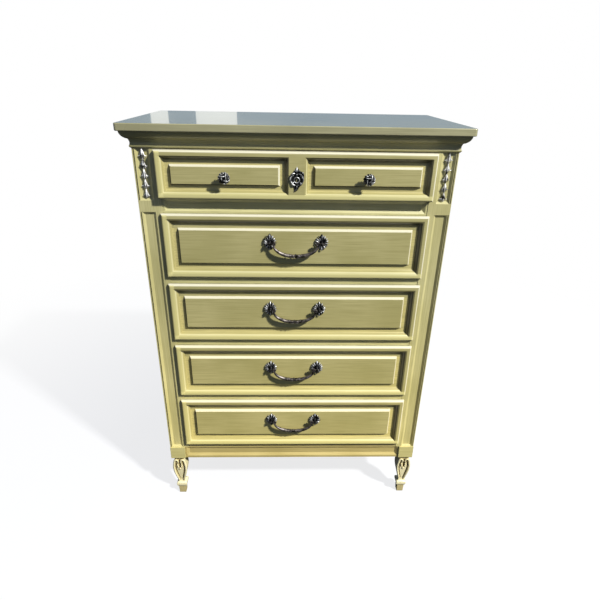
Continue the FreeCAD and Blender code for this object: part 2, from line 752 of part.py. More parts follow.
def add_nut_and_stud(body, x, z, face):
    """Stud through the drawer front with a nut on its inner end."""
    inner = f"(tongue_thickness - {face})"
    cylinder(body, "y", (x, inner, z), "nut_radius", "nut_thickness")
    cylinder(body, "y", (x, f"{inner} - overrun", z), "stud_radius + stud_gap", "nut_thickness + 2 * overrun",
             cut=True)
    cylinder(body, "y", (x, "0", z), "stud_radius", f"{inner} + stud_excess")


def make_pull(number):
    """Bail pull: two domed rosettes with eyed stalks, and the bail that swings in the eyes."""
    middle = f"{opening_low(number)} + {opening_size(number)} / 2 + pull_rise"
    posts = new_body(f"pull_{number}_rosettes", y=DEEP_FIELD, z=middle)
    for side in (-1, 1):
        ellipsoid(posts, (f"{side} * {STALK_OFFSET}", "0", "0"),
                  ("rosette_width / 2", "rosette_dome", "rosette_height / 2"))
    wide = both(f"{STALK_OFFSET} + rosette_width")
    box(posts, wide, ("0", "rosette_dome + overrun"), both("rosette_height"), cut=True)
    for side in (-1, 1):
        x = f"{side} * {STALK_OFFSET}"
        add_nut_and_stud(posts, x, "0", DEEP_FIELD)
        cylinder(posts, "y", (x, "-stalk_reach", "0"), "stalk_radius", "stalk_reach")
        sphere(posts, (x, "-stalk_reach", "0"), "eye_radius")
    for side in (-1, 1):
        start = f"{side} * {STALK_OFFSET} - eye_radius - overrun"
        cylinder(posts, "x", (start, "-stalk_reach", "0"), "pin_radius + pin_gap",
                 "2 * (eye_radius + overrun)", cut=True)
    make_bail(number, middle)


def make_bail(number, middle):
    """Bail: two pins, two knuckles and a bowed grip with a thicker knot in its middle."""
    bail = new_body(f"pull_{number}_bail", y=DEEP_FIELD, z=middle)
    for side in (-1, 1):
        spine = empty_sketch(bail, "XZ_Plane", ("0", "0", "stalk_reach"))
        shares = BAIL_SHARES if side > 0 else mirrored(BAIL_SHARES)
        outline(spine, shares, ("bail_half_width", "bail_drop"), closed=False)
        section = empty_sketch(bail, "YZ_Plane", ("-stalk_reach", "-bail_drop", "0"))
        circle = Part.Circle(FreeCAD.Vector(), FreeCAD.Vector(0, 0, 1), SIZES["bail_radius"])
        ring = section.addGeometry(circle, False)
        section.addConstraint(Sketcher.Constraint("Coincident", ring, 3, -1, 1))
        held = section.addConstraint(Sketcher.Constraint("Radius", ring, SIZES["bail_radius"]))
        section.setExpression(f"Constraints[{held}]", formula("bail_radius"))
        grip = bail.newObject("PartDesign::AdditivePipe", "Grip")
        grip.Profile = section
        grip.Spine = spine
    for turn in (0, 180):
        knot = ("bail_knot_radius", "bail_radius")
        cone(bail, ("0", "-stalk_reach", "-bail_drop"), knot, "bail_knot_length / 2", turn)
    pin_length = "(knuckle_radius + eye_gap + 2 * eye_radius)"
    for side in (-1, 1):
        sphere(bail, (f"{side} * bail_half_width", "-stalk_reach", "0"), "knuckle_radius")
        start = "bail_half_width" if side > 0 else f"-bail_half_width - {pin_length}"
        cylinder(bail, "x", (start, "-stalk_reach", "0"), "pin_radius", pin_length)


def make_knobs():
    """Two turned knobs of the top drawer, each with its stud and nut."""
    for (x, z), name in zip(stud_places(1), ("left", "right")):
        body = new_body(f"knob_{name}", x=x, y=TOP_FIELD, z=z)
        profile = outline(empty_sketch(body, "XY_Plane"), KNOB_SHARES, ("knob_radius", "knob_length"))
        turned = body.newObject("PartDesign::Revolution", "Turned")
        turned.Profile = profile
        turned.ReferenceAxis = (origin_feature(body, "Y_Axis"), [""])
        turned.Angle = 360
        add_nut_and_stud(body, "0", "0", TOP_FIELD)


def make_escutcheon():
    """Keyhole plate in the middle of the top drawer."""
    middle = f"{TOP_OPENING_LOW} + top_opening_height / 2 - escutcheon_drop"
    body = new_body("escutcheon", y="-top_projection", z=middle)
    sketch = outline(empty_sketch(body, "XZ_Plane"), ESCUTCHEON_SHARES,
                     ("escutcheon_width", "escutcheon_height"))
    pad(body, sketch, "escutcheon_thickness")
    depth = ("-escutcheon_thickness - overrun", "overrun")
    cylinder(body, "y", ("0", depth[0], "0"), "keyhole_radius", "escutcheon_thickness + 2 * overrun",
             cut=True)
    box(body, both("keyhole_slot / 2"), depth, ("-keyhole_length", "0"), cut=True)


def make_husks():
    """Husk drops on the short panels of the stiles: five bellflowers, each with a pair of side leaves."""
    pitch = f"(husk_length / {HUSK_COUNT})"
    for side, name in ((-1, "left"), (1, "right")):
        x = f"{side} * ({STILE_PANEL_FAR} + {STILE_PANEL_NEAR}) / 2"
        body = new_body(f"husk_{name}", x=x, y="stile_sink", z=f"{WAIST_BLOCK_TOP} + husk_lift")
        for order in range(HUSK_COUNT):
            scale = 1 - HUSK_TAPER_SHARE * (HUSK_COUNT - 1 - order)
            for width, shares in (("husk_rib_half_width", HUSK_RIB_SHARES),
                                  ("husk_half_width", HUSK_LEAF_SHARES)):
                middle = ("0", "0", f"{order + shares['middle']} * {pitch}")
                rise = f"{scale * shares['rise']} * husk_rise"
                ellipsoid(body, middle, (f"{scale} * {width}", rise, f"{shares['half_length']} * {pitch}"))
        box(body, both("2 * husk_half_width"), ("0", "husk_rise + overrun"),
            ("-overrun", "husk_length + husk_rise + overrun"), cut=True)


def make_all():
    """Make every sub-part."""
    make_slab()
    make_cornice()
    make_stiles()
    make_rails()
    make_sides()
    make_back()
    make_blocks()
    make_feet()
    make_runners()
    make_husks()
    for number in range(1, DEEP_DRAWERS + 2):
        make_front(number)
        make_box(number)
        if number > 1:
            make_pull(number)
    make_knobs()
    make_escutcheon()


def check_model():
    """Stop if any object failed or any sub-part has no sound shape."""
    faults = [item.Label for item in doc.Objects if "Invalid" in item.State or "Error" in item.State]
    if faults:
        raise RuntimeError(f"failed objects: {faults}")
    for body in SUBPARTS:
        if body.Shape.isNull() or not body.Shape.isValid():
            raise RuntimeError(f"no sound shape: {body.Label}")


def write_parts():
    """Write each sub-part to its own file."""
    os.makedirs("parts", exist_ok=True)
    for body in SUBPARTS:
        body.Shape.exportStep(f"parts/{body.Label}.step")
        print(body.Label, len(body.Shape.Solids), round(body.Shape.Volume))


make_all()
doc.recompute()
check_model()
write_parts()
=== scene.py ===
# %% [markdown]
# # A painted tallboy
#
# This lesson dresses a measured model of a tallboy, a tall chest of drawers, so that it looks like the real
# one. The real chest is wood under an olive celadon paint, with a brown glaze wiped into every crease, and
# it carries cast pulls of dark pewter. The measured model already has the boards in their true sizes. Here
# they get their finish, and the carved and cast pieces are modelled over their plain solids. The first cell
# loads the model.

# %% Load the measured model
import math

import bpy
from mathutils import Matrix, Vector


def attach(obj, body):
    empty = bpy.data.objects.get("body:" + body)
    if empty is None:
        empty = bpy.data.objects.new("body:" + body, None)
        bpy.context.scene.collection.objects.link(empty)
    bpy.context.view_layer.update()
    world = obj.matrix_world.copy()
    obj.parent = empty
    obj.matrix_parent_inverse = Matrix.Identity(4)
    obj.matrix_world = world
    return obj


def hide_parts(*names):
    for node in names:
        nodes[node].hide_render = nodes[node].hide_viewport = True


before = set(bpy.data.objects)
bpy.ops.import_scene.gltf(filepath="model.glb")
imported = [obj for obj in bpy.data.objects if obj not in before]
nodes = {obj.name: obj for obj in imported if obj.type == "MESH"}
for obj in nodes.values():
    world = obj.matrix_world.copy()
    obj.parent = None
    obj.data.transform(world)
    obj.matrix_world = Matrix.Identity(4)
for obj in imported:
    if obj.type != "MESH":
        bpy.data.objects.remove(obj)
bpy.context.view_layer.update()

# %% [markdown]
# ## Units and colours
#
# Blender works in metres, and the sizes of furniture are easier to read in millimetres, so one value turns
# millimetres to metres. Colours are picked as sRGB hex values, as a paint chart gives them, and shaders
# need them linear, so one function converts them. Typing linear numbers by hand would work too, but nobody
# can read those.

# %% Millimetres and hex colours
MM = 0.001


def linear(hex_colour):
    """An sRGB hex colour as the linear RGBA that shaders take."""
    shares = [int(hex_colour[place:place + 2], 16) / 255 for place in (1, 3, 5)]
    return [s / 12.92 if s <= 0.04045 else ((s + 0.055) / 1.055) ** 2.4 for s in shares] + [1.0]


print("olive paint, linear:", [round(value, 3) for value in linear("#A8A26E")])

# %% [markdown]
# ## One helper for shader nodes
#
# Every finish below is a small graph of nodes. Adding a node, setting it and linking it are always the same
# three steps, so one function does them: an input takes a plain value, another node, whose first output is
# meant, or an output itself. The kind is the node's type without its first word, ShaderNode, which all of
# them share.

# %% Add a shader node
def add_node(tree, kind, inputs, **settings):
    """Add one node; inputs maps a socket's name or number to a value, or to a node or output to link."""
    item = tree.nodes.new("ShaderNode" + kind)
    for name, value in settings.items():
        setattr(item, name, value)
    for socket, value in inputs.items():
        if isinstance(value, bpy.types.Node):
            value = value.outputs[0]
        if isinstance(value, bpy.types.NodeSocket):
            tree.links.new(value, item.inputs[socket])
        else:
            item.inputs[socket].default_value = value
    return item


def new_finish(name):
    """An empty material and its node tree."""
    material = bpy.data.materials.new(name)
    material.use_nodes = True
    material.node_tree.nodes.clear()
    return material, material.node_tree


print("node helpers ready")

# %% [markdown]
# ## Glazed paint on wood
#
# The chest is sprayed with an olive celadon paint, brushed with a thin brown glaze, wiped, and lacquered to
# a satin. The eye sees soft clouds of warmer and cooler olive, and over them the faint streaks that the
# brush left along the grain. The streaks are noise, squeezed to 2.5 mm across the grain and drawn out to
# 120 mm along it, coarser than real brush lines so that they show. An image could hold all this too, but
# noise has no seams.

# %% Clouds and streaks
GRAIN_ROWS = {"x": (8.0, 400.0, 400.0), "y": (400.0, 8.0, 400.0), "z": (400.0, 400.0, 8.0)}


def brushed_coat(tree, place, grain, tones):
    """Clouded colour with streaks along the grain: gives the colour, the streaks and the clouds."""
    drawn = add_node(tree, "Mapping", {"Vector": place, "Scale": GRAIN_ROWS[grain]})
    streak = add_node(tree, "TexNoise", {"Vector": drawn, "Scale": 1.0, "Detail": 3.0})
    cloud = add_node(tree, "TexNoise", {"Vector": place, "Scale": 5.0, "Detail": 4.0})
    cloud_share = add_node(tree, "MapRange", {0: cloud, 1: 0.35, 2: 0.65})
    cloudy = add_node(tree, "Mix", {0: cloud_share, 6: linear(tones[0]), 7: linear(tones[1])},
                      data_type="RGBA").outputs[2]
    streak_share = add_node(tree, "MapRange", {0: streak, 1: 0.42, 2: 0.7, 4: 0.7})
    colour = add_node(tree, "Mix", {0: streak_share, 6: cloudy, 7: linear(tones[2])},
                      data_type="RGBA").outputs[2]
    return colour, streak, cloud


print("grain directions:", list(GRAIN_ROWS))

# %% [markdown]
# ## Wiped mouldings, painted shade and painted highlights of the drawer fronts
#
# A drawer front has a rim, a moulded slope down into a channel, and a raised field with bevelled edges. The
# glaze is wiped off the channels and the crests and stays as a brown line along each slope. Slopes that face
# down or to the left get painted shade, and so does the channel under the upper moulding. The bevels that
# face up or to the right get a painted highlight, almost white. Painting that by hand would need one image
# for each front. Here the depth of a point, the way it faces and its place in its panel say what it is, so
# five fronts share two finishes. The numbers are sizes of the measured model, in mm.

# %% Where a point lies in its panel
DEEP_FRONT = {"channel": -211, "middle": (0, 346.5), "half_pitch": (400, 110), "rim_edge": 80}
TOP_FRONT = {"channel": -221, "middle": (199.25, 1216.5), "half_pitch": (199.25, 110), "rim_edge": 49.2}


def in_panel(tree, place, front, axis):
    """Distance of a point from the middle of its panel, along X or Z."""
    order = "XZ".index(axis)
    middle, half_pitch = front["middle"][order] * MM, front["half_pitch"][order] * MM
    along = add_node(tree, "SeparateXYZ", {0: place}).outputs[axis]
    shifted = add_node(tree, "Math", {0: along, 1: middle}, operation="SUBTRACT")
    return add_node(tree, "Math", {0: shifted, 1: half_pitch, 2: -half_pitch}, operation="WRAP")


def painted_highlight_share(tree, place, normal, front):
    """Share of painted highlight: bevels that face up or right, in the upper or right half of each panel."""
    slopes = []
    for axis in "XZ":
        local = in_panel(tree, place, front, axis)
        outer = add_node(tree, "Math", {0: local, 1: 0.0}, operation="GREATER_THAN")
        turned_to = add_node(tree, "SeparateXYZ", {0: normal}).outputs[axis]
        facing = add_node(tree, "MapRange", {0: turned_to, 1: 0.3, 2: 0.6})
        slopes.append(add_node(tree, "Math", {0: outer, 1: facing}, operation="MULTIPLY"))
    return add_node(tree, "Math", {0: slopes[0], 1: slopes[1]}, operation="MAXIMUM")


print("channel depths in mm:", DEEP_FRONT["channel"], TOP_FRONT["channel"])

# %% Slopes, channels and bevels
# slope, wiped channel, crest, painted shade and painted highlight, each laid over the one before
MOULDING_TONES = ("#7A7245", "#C6B976", "#D9D3A2", "#333120", "#D2CDB4")


def wiped_mouldings(tree, place, colour, streak, normal, front):
    """Brown lines, wiped channels and crests, painted shade and painted highlights over a front's colour."""
    floor_depth = front["channel"]
    depth = add_node(tree, "SeparateXYZ", {0: place}).outputs["Y"]
    across, facing, up = add_node(tree, "SeparateXYZ", {0: normal}).outputs
    # facing is -1 where a surface looks straight to the front, and more on a slope
    slope = add_node(tree, "MapRange", {0: facing, 1: -0.985, 2: -0.97, 4: 0.5})
    steep = add_node(tree, "MapRange", {0: facing, 1: -0.88, 2: -0.84, 4: 0.5})
    # the channel's floor is wiped paler, except under the upper moulding, where it keeps painted shade
    channel = add_node(tree, "MapRange", {0: depth, 1: (floor_depth - 3) * MM, 2: (floor_depth - 2) * MM})
    height, shade_line = in_panel(tree, place, front, "Z"), 0.67 * front["rim_edge"]
    below_painted_shade = add_node(tree, "MapRange", {0: height, 1: (shade_line + 1) * MM, 2: shade_line * MM})
    open_channel = add_node(tree, "Math", {0: channel, 1: below_painted_shade}, operation="MULTIPLY")
    moulding = add_node(tree, "Math", {0: open_channel, 1: steep}, operation="MAXIMUM")
    wiping = add_node(tree, "MapRange", {0: streak, 1: 0.3, 2: 0.65, 3: 0.85, 4: 0.35})
    wiped = add_node(tree, "Math", {0: moulding, 1: wiping}, operation="MULTIPLY")
    # the crest is the steep slope next to the rim
    near_rim = add_node(tree, "MapRange", {0: depth, 1: (floor_depth - 7) * MM, 2: (floor_depth - 9) * MM})
    crest = add_node(tree, "Math", {0: steep, 1: near_rim}, operation="MULTIPLY")
    # painted shade: slopes that face down or to the left are darkened
    inward = add_node(tree, "Math", {0: across, 1: up}, operation="MINIMUM")
    painted_shade = add_node(tree, "MapRange", {0: inward, 1: -0.25, 2: -0.5, 4: 0.9})
    # painted highlight: bevels that face up or to the right are lightened almost to white
    outer = painted_highlight_share(tree, place, normal, front)
    wear_and_painted_highlight = add_node(tree, "Math", {0: outer, 1: 0.85}, operation="MULTIPLY")
    for share, tone in zip((slope, wiped, crest, painted_shade, wear_and_painted_highlight), MOULDING_TONES):
        colour = add_node(tree, "Mix", {0: share, 6: colour, 7: linear(tone)}, data_type="RGBA").outputs[2]
    return colour


print("tones of the mouldings:", len(MOULDING_TONES))

# %% [markdown]
# ## Painted light on the lower and left rims
#
# The rim of a real front rounds a little towards its channel, so its lower and left sides catch the light.
# The measured rim is flat. A bevel could round it, but it would leave the true sizes, so the finish only
# leans the normal of these two sides inwards and paints them paler, as painted light.

# %% Pale rims that lean inwards
# the paler rim tone is painted light on the lower and left rims
FRONT_RIM_EDGE, RIM_LEAN, RIM_PAINTED_LIGHT = 371.8, 0.25, "#B5AD73"


def rims_with_painted_light(tree, place, colour, normal, front):
    """Lower and left rims painted paler as painted light: gives the colour and the leaning normal."""
    across, depth, _ = add_node(tree, "SeparateXYZ", {0: place}).outputs
    rim_depth = front["channel"] - 12
    rim = add_node(tree, "MapRange", {0: depth, 1: (rim_depth + 0.2) * MM, 2: (rim_depth - 0.3) * MM})
    shares = []
    for local, edge in ((across, FRONT_RIM_EDGE), (in_panel(tree, place, front, "Z"), front["rim_edge"])):
        side = add_node(tree, "MapRange", {0: local, 1: (0.4 - edge) * MM, 2: (-0.4 - edge) * MM})
        shares.append(add_node(tree, "Math", {0: side, 1: rim}, operation="MULTIPLY"))
    both = add_node(tree, "Math", {0: shares[0], 1: shares[1]}, operation="MAXIMUM")
    # painted light: the lower and left rims are made paler
    pale = add_node(tree, "Math", {0: both, 1: 0.9}, operation="MULTIPLY")
    colour = add_node(tree, "Mix", {0: pale, 6: colour, 7: linear(RIM_PAINTED_LIGHT)}, data_type="RGBA").outputs[2]
    towards = add_node(tree, "CombineXYZ", {0: shares[0], 2: shares[1]})
    lean = add_node(tree, "VectorMath", {0: towards, 3: RIM_LEAN}, operation="SCALE")
    leaning = add_node(tree, "VectorMath", {0: normal, 1: lean}, operation="ADD")
    return colour, add_node(tree, "VectorMath", {0: leaning}, operation="NORMALIZE")


print("rims lean by", round(math.degrees(math.atan(RIM_LEAN))), "degrees")

# %% [markdown]
# ## Creases, edges and feet
#
# Brown glaze stays in every crease, and hands and dusters wear the edges pale. Ambient occlusion finds the
# creases within 5 mm, and a bevelled normal that differs from the true one finds the edges, so both follow
# the shape by themselves. Towards the floor the colour turns paler and warmer. The carved hollows of the
# feet and their toes are browned, which a wider occlusion and the height above the floor give.

# %% Browned feet, worn edges and glazed creases
TOE_TOP, FOOT_BROWN, WORN_PALE, CREASE_BROWN = 36, "#9C8A4B", "#CFC68F", "#33301F"
LOW_TINT = (1.36, 1.29, 1.12, 1)


def browned_foot(tree, place, colour):
    """Brown glaze in a foot's hollows and on its toe."""
    open_sky = add_node(tree, "AmbientOcclusion", {"Distance": 14 * MM}, samples=8).outputs["AO"]
    sunk = add_node(tree, "MapRange", {0: open_sky, 1: 0.86, 2: 0.6, 4: 0.85})
    level = add_node(tree, "SeparateXYZ", {0: place}).outputs["Z"]
    toe = add_node(tree, "MapRange", {0: level, 1: (TOE_TOP + 1) * MM, 2: TOE_TOP * MM, 4: 0.6})
    browned = add_node(tree, "Math", {0: sunk, 1: toe}, operation="MAXIMUM")
    return add_node(tree, "Mix", {0: browned, 6: colour, 7: linear(FOOT_BROWN)}, data_type="RGBA").outputs[2]


def worn_and_glazed(tree, place, colour, round_normal, true_normal):
    """Pale worn edges, a lighter foot of the chest and brown creases over a colour."""
    speck = add_node(tree, "TexNoise", {"Vector": place, "Scale": 60.0, "Detail": 5.0})
    likeness = add_node(tree, "VectorMath", {0: round_normal, 1: true_normal},
                        operation="DOT_PRODUCT").outputs["Value"]
    edge = add_node(tree, "MapRange", {0: likeness, 1: 0.995, 2: 0.9})
    wear_and_painted_highlight = add_node(tree, "MapRange", {0: speck, 1: 0.42, 2: 0.6, 4: 0.75})
    wear = add_node(tree, "Math", {0: edge, 1: wear_and_painted_highlight}, operation="MULTIPLY")
    worn = add_node(tree, "Mix", {0: wear, 6: colour, 7: linear(WORN_PALE)}, data_type="RGBA").outputs[2]
    level = add_node(tree, "SeparateXYZ", {0: place}).outputs["Z"]
    lowness = add_node(tree, "MapRange", {0: level, 1: 0.9, 2: 0.3})
    warmed = add_node(tree, "Mix", {0: lowness, 6: worn, 7: LOW_TINT}, data_type="RGBA",
                      blend_type="MULTIPLY").outputs[2]
    open_sky = add_node(tree, "AmbientOcclusion", {"Distance": 5 * MM}, samples=8).outputs["AO"]
    crease = add_node(tree, "MapRange", {0: open_sky, 1: 0.75, 2: 0.35, 4: 0.9})
    uneven = add_node(tree, "MapRange", {0: speck, 1: 0.3, 2: 0.6, 3: 0.55, 4: 1.0})
    glaze = add_node(tree, "Math", {0: crease, 1: uneven}, operation="MULTIPLY")
    return add_node(tree, "Mix", {0: glaze, 6: warmed, 7: linear(CREASE_BROWN)}, data_type="RGBA").outputs[2]


print("toe of the feet in mm:", TOE_TOP)

# %% [markdown]
# ## Ten paints from one recipe
#
# All paints are one recipe with other tones. A satin lacquer has a roughness near 0.34, and the slab's top
# is polished, so it has a full clear coat that mirrors the room. Stiles and rails are wiped paler than the
# case, the cornice and the returns are darker as painted shade, the base rail is browner, and the feet are
# nearly cream.

# %% The whole recipe
def glazed_paint(name, grain, tones, roughness=0.34, coat=0.2, front=None, foot=False):
    """Lacquered olive paint; front gives the sizes of a drawer front, and a foot is browned."""
    material, tree = new_finish(name)
    place = add_node(tree, "TexCoord", {}).outputs["Object"]
    colour, streak, cloud = brushed_coat(tree, place, grain, tones)
    round_normal = add_node(tree, "Bevel", {"Radius": 1.2 * MM}, samples=4)
    true_normal = add_node(tree, "NewGeometry", {}).outputs["Normal"]
    shaded_normal = round_normal
    if front is not None:
        # a front adds painted shade, painted highlights and painted light on its rims
        colour = wiped_mouldings(tree, place, colour, streak, true_normal, front)
        colour, shaded_normal = rims_with_painted_light(tree, place, colour, round_normal, front)
    if foot:
        colour = browned_foot(tree, place, colour)
    glazed = worn_and_glazed(tree, place, colour, round_normal, true_normal)
    bump = add_node(tree, "Bump", {"Height": streak, "Strength": 0.12, "Distance": 0.3 * MM,
                                   "Normal": shaded_normal})
    ripple = add_node(tree, "Bump", {"Height": streak, "Strength": 0.05, "Distance": 0.3 * MM})
    gloss = add_node(tree, "MapRange", {0: cloud, 1: 0.3, 2: 0.7, 3: roughness - 0.04, 4: roughness + 0.06})
    surface = add_node(tree, "BsdfPrincipled", {"Base Color": glazed, "Roughness": gloss, "Normal": bump,
                                                "Coat Weight": coat, "Coat Roughness": 0.07,
                                                "Coat Normal": ripple})
    add_node(tree, "OutputMaterial", {"Surface": surface})
    return material


print("paint recipe ready")

# %% Tones and paints
CASE_TONES = ("#A29A63", "#B3AA74", "#918954")
STILE_TONES = ("#B1A972", "#C2BA84", "#9F9862")
# darker tones: painted shade on the cornice and the returns
SHADED_TONES = ("#97915F", "#A8A16F", "#888252")
RAIL_TONES = ("#B3AC74", "#C4BD86", "#A29B64")
LOW_TONES = ("#A39660", "#B3A56F", "#968750")
TOP_TONES = ("#95906A", "#A39E76", "#888360")
FOOT_TONES = ("#CDC7A2", "#DCD6B4", "#BDB58C")
paint_across = glazed_paint("satin_olive_paint_grain_x", "x", CASE_TONES)
paint_upright = glazed_paint("satin_olive_paint_grain_z", "z", STILE_TONES)
paint_deep = glazed_paint("satin_olive_paint_grain_y", "y", SHADED_TONES)
paint_cornice = glazed_paint("shaded_olive_paint_cornice", "x", SHADED_TONES)
paint_rail = glazed_paint("wiped_olive_paint_rails", "x", RAIL_TONES)
paint_top = glazed_paint("polished_olive_paint_grain_x", "x", TOP_TONES, roughness=0.3, coat=1.0)
paint_foot = glazed_paint("cream_olive_paint_feet", "z", FOOT_TONES, foot=True)
paint_low = glazed_paint("browned_olive_paint_grain_x", "x", LOW_TONES)
paint_front = glazed_paint("wiped_olive_paint_with_painted_light_deep_fronts", "x", CASE_TONES, front=DEEP_FRONT)
paint_top_front = glazed_paint("wiped_olive_paint_with_painted_light_top_front", "x", CASE_TONES, front=TOP_FRONT)
print("paints:", len([item for item in bpy.data.materials if "olive_paint" in item.name]))

# %% [markdown]
# ## Bare wood and boards
#
# Inside, nobody paints: the runners, posts and drawer boxes are planed poplar, which is pale tan with brown
# grain lines that wander a little. The back, the dust panels and the drawer bottoms are a thin brown board.
# Noise is squeezed across the grain and folded to and fro, which makes lines about 6 mm apart, coarser than
# poplar's own so that they show. A band wave could draw them too, but its lines would be too even.

# %% Planed poplar and thin board
WOOD_ROWS = {"x": (1.5, 60.0, 60.0), "y": (60.0, 1.5, 60.0), "z": (60.0, 60.0, 1.5)}
FOLD = 0.08


def bare_wood(name, grain, pale, dark, roughness):
    """Unfinished wood with wandering grain lines along an axis."""
    material, tree = new_finish(name)
    place = add_node(tree, "TexCoord", {}).outputs["Object"]
    drawn = add_node(tree, "Mapping", {"Vector": place, "Scale": WOOD_ROWS[grain]})
    figure = add_node(tree, "TexNoise", {"Vector": drawn, "Scale": 1.0, "Detail": 6.0, "Distortion": 1.2})
    lines = add_node(tree, "Math", {0: figure, 1: FOLD}, operation="PINGPONG")
    share = add_node(tree, "MapRange", {0: lines, 1: 0.0, 2: FOLD})
    fine = add_node(tree, "TexNoise", {"Vector": drawn, "Scale": 8.0, "Detail": 3.0})
    colour = add_node(tree, "Mix", {0: share, 6: linear(dark), 7: linear(pale)}, data_type="RGBA").outputs[2]
    bump = add_node(tree, "Bump", {"Height": fine, "Strength": 0.25, "Distance": 0.3 * MM})
    surface = add_node(tree, "BsdfPrincipled", {"Base Color": colour, "Roughness": roughness, "Normal": bump})
    add_node(tree, "OutputMaterial", {"Surface": surface})
    return material


poplar_across, poplar_upright, poplar_deep = (
    bare_wood(f"planed_poplar_grain_{grain}", grain, "#C9A777", "#AE8A5C", 0.6) for grain in "xzy")
thin_board = bare_wood("brown_back_board", "z", "#8C6B48", "#775838", 0.7)
print("bare woods:", 4)

# %% [markdown]
# ## Antique pewter
#
# The pulls, knobs and keyhole plate are cast in a zinc alloy and plated dark, then the high spots are
# rubbed bright, so the eye sees grey metal with black hollows. Occlusion times a patchy noise of about 11
# mm tells high from low, and a noise of about 1 mm gives the grainy skin. One tone would be quicker, but it
# would hide the leaves. The husks are rubbed almost silver, the bails stay browner, and the grounds of the
# casts are black.

# %% Antique pewter and zinc screws
def cast_metal(name, low_tone, high_tone, roughness, metallic=1.0):
    """Dark plated casting, rubbed bright on its high spots; a little less than all metal keeps it grey."""
    material, tree = new_finish(name)
    place = add_node(tree, "TexCoord", {}).outputs["Object"]
    skin = add_node(tree, "TexNoise", {"Vector": place, "Scale": 900.0, "Detail": 3.0})
    patch = add_node(tree, "TexNoise", {"Vector": place, "Scale": 90.0, "Detail": 3.0})
    open_sky = add_node(tree, "AmbientOcclusion", {"Distance": 6 * MM}, samples=8).outputs["AO"]
    height = add_node(tree, "Math", {0: open_sky, 1: patch}, operation="MULTIPLY")
    share = add_node(tree, "MapRange", {0: height, 1: 0.36, 2: 0.58})
    colour = add_node(tree, "Mix", {0: share, 6: linear(low_tone), 7: linear(high_tone)},
                      data_type="RGBA").outputs[2]
    bump = add_node(tree, "Bump", {"Height": skin, "Strength": 0.2, "Distance": 0.2 * MM})
    surface = add_node(tree, "BsdfPrincipled", {"Base Color": colour, "Roughness": roughness, "Normal": bump,
                                                "Metallic": metallic})
    add_node(tree, "OutputMaterial", {"Surface": surface})
    return material


pewter = cast_metal("antique_pewter", "#060707", "#C9C9C6", 0.5, 0.7)
black_pewter = cast_metal("blackened_pewter", "#070707", "#2E2E2E", 0.5, 0.7)
bail_pewter = cast_metal("brown_rubbed_pewter", "#1F1C1A", "#7E7670", 0.46, 0.8)
silvered = cast_metal("rubbed_silvered_casting", "#1A1815", "#F6F4EC", 0.5, 0.25)
zinc = cast_metal("zinc_plated_steel", "#6E6E6C", "#B9B9B4", 0.3)
print("metals:", 5)

# %% [markdown]
# ## Give every board its finish
#
# The grain of a board runs along its length: across on the drawer fronts and rails, upright on the stiles
# and the side panels, and to the back on the returns. The measured boards stay as they are, and each gets
# its finish in its material slot. Painting a whole group at once would be quicker, but then the grain would
# run one way.

# %% Boards and their finishes
def finish(name, material):
    """Put one material on a board of the measured model."""
    mesh = nodes[name].data
    mesh.materials.clear()
    mesh.materials.append(material)


BOARD_FINISHES = (
    (paint_top, ["top_slab"]),
    (paint_cornice, ["cornice_front"]),
    (paint_deep, ["cornice_left", "cornice_right", "side_base_rails"]),
    (paint_upright, ["stile_left", "stile_right", "side_left", "side_right"]),
    (paint_rail, ["waist_rail", "drawer_rails", "base_blocks"]),
    (paint_low, ["base_rail"]),
    (paint_across, ["top_rail", "back_rails"]),
    (poplar_across, ["bottom_board"]),
    (poplar_upright, ["rear_posts"]),
    (poplar_deep, ["drawer_runners", "drawer_guides"]),
    (thin_board, ["dust_panels", "back_panel"]),
    (zinc, ["back_screws"]),
)
for material, names in BOARD_FINISHES:
    for name in names:
        finish(name, material)
for number in range(1, 6):
    finish(f"drawer_{number}_front", paint_top_front if number == 1 else paint_front)
    finish(f"drawer_{number}_sides", poplar_deep)
    finish(f"drawer_{number}_back", poplar_across)
    finish(f"drawer_{number}_bottom", thin_board)
print("boards finished:", sum(len(names) for _, names in BOARD_FINISHES) + 5 * 4)

# %% [markdown]
# ## Ways of working metal and wood
#
# The carved and cast pieces are built up as a carver or a mould maker would see them: tapered rods for
# leaves and scrolls, beads, turned posts and drawn-up blocks. A leaf could be pushed out of a plane point
# by point, but a curve with a radius at each point gives its taper at once, and flattening it towards the
# board makes it a leaf. Sizes here are in millimetres, with a piece's own back near y = 0 and the viewer on
# the side of -y.

# %% Start, finish and copy a piece
SHARP_FROM = math.radians(42)


def start_fresh():
    """Leave nothing selected before a new primitive is added."""
    bpy.ops.object.select_all(action="DESELECT")


def apply_place():
    """Move the active object's place, turn and scale into its mesh."""
    bpy.ops.object.transform_apply(location=True, rotation=True, scale=True)
    return bpy.context.object


def apply_modifier(piece, kind, **settings):
    """Add a modifier to a piece, set it and apply it."""
    start_fresh()
    piece.select_set(True)
    bpy.context.view_layer.objects.active = piece
    bpy.ops.object.modifier_add(type=kind)
    modifier = piece.modifiers[-1]
    for name, value in settings.items():
        setattr(modifier, name, value)
    bpy.ops.object.modifier_apply(modifier=modifier.name)


def join(parts, name):
    """Join parts into one smooth piece with its place in its mesh."""
    start_fresh()
    for part in parts:
        part.select_set(True)
    bpy.context.view_layer.objects.active = parts[0]
    bpy.ops.object.join()
    piece = apply_place()
    piece.name = name
    bpy.ops.object.shade_smooth_by_angle(angle=SHARP_FROM)
    apply_modifier(piece, "WEIGHTED_NORMAL", keep_sharp=True)
    return piece


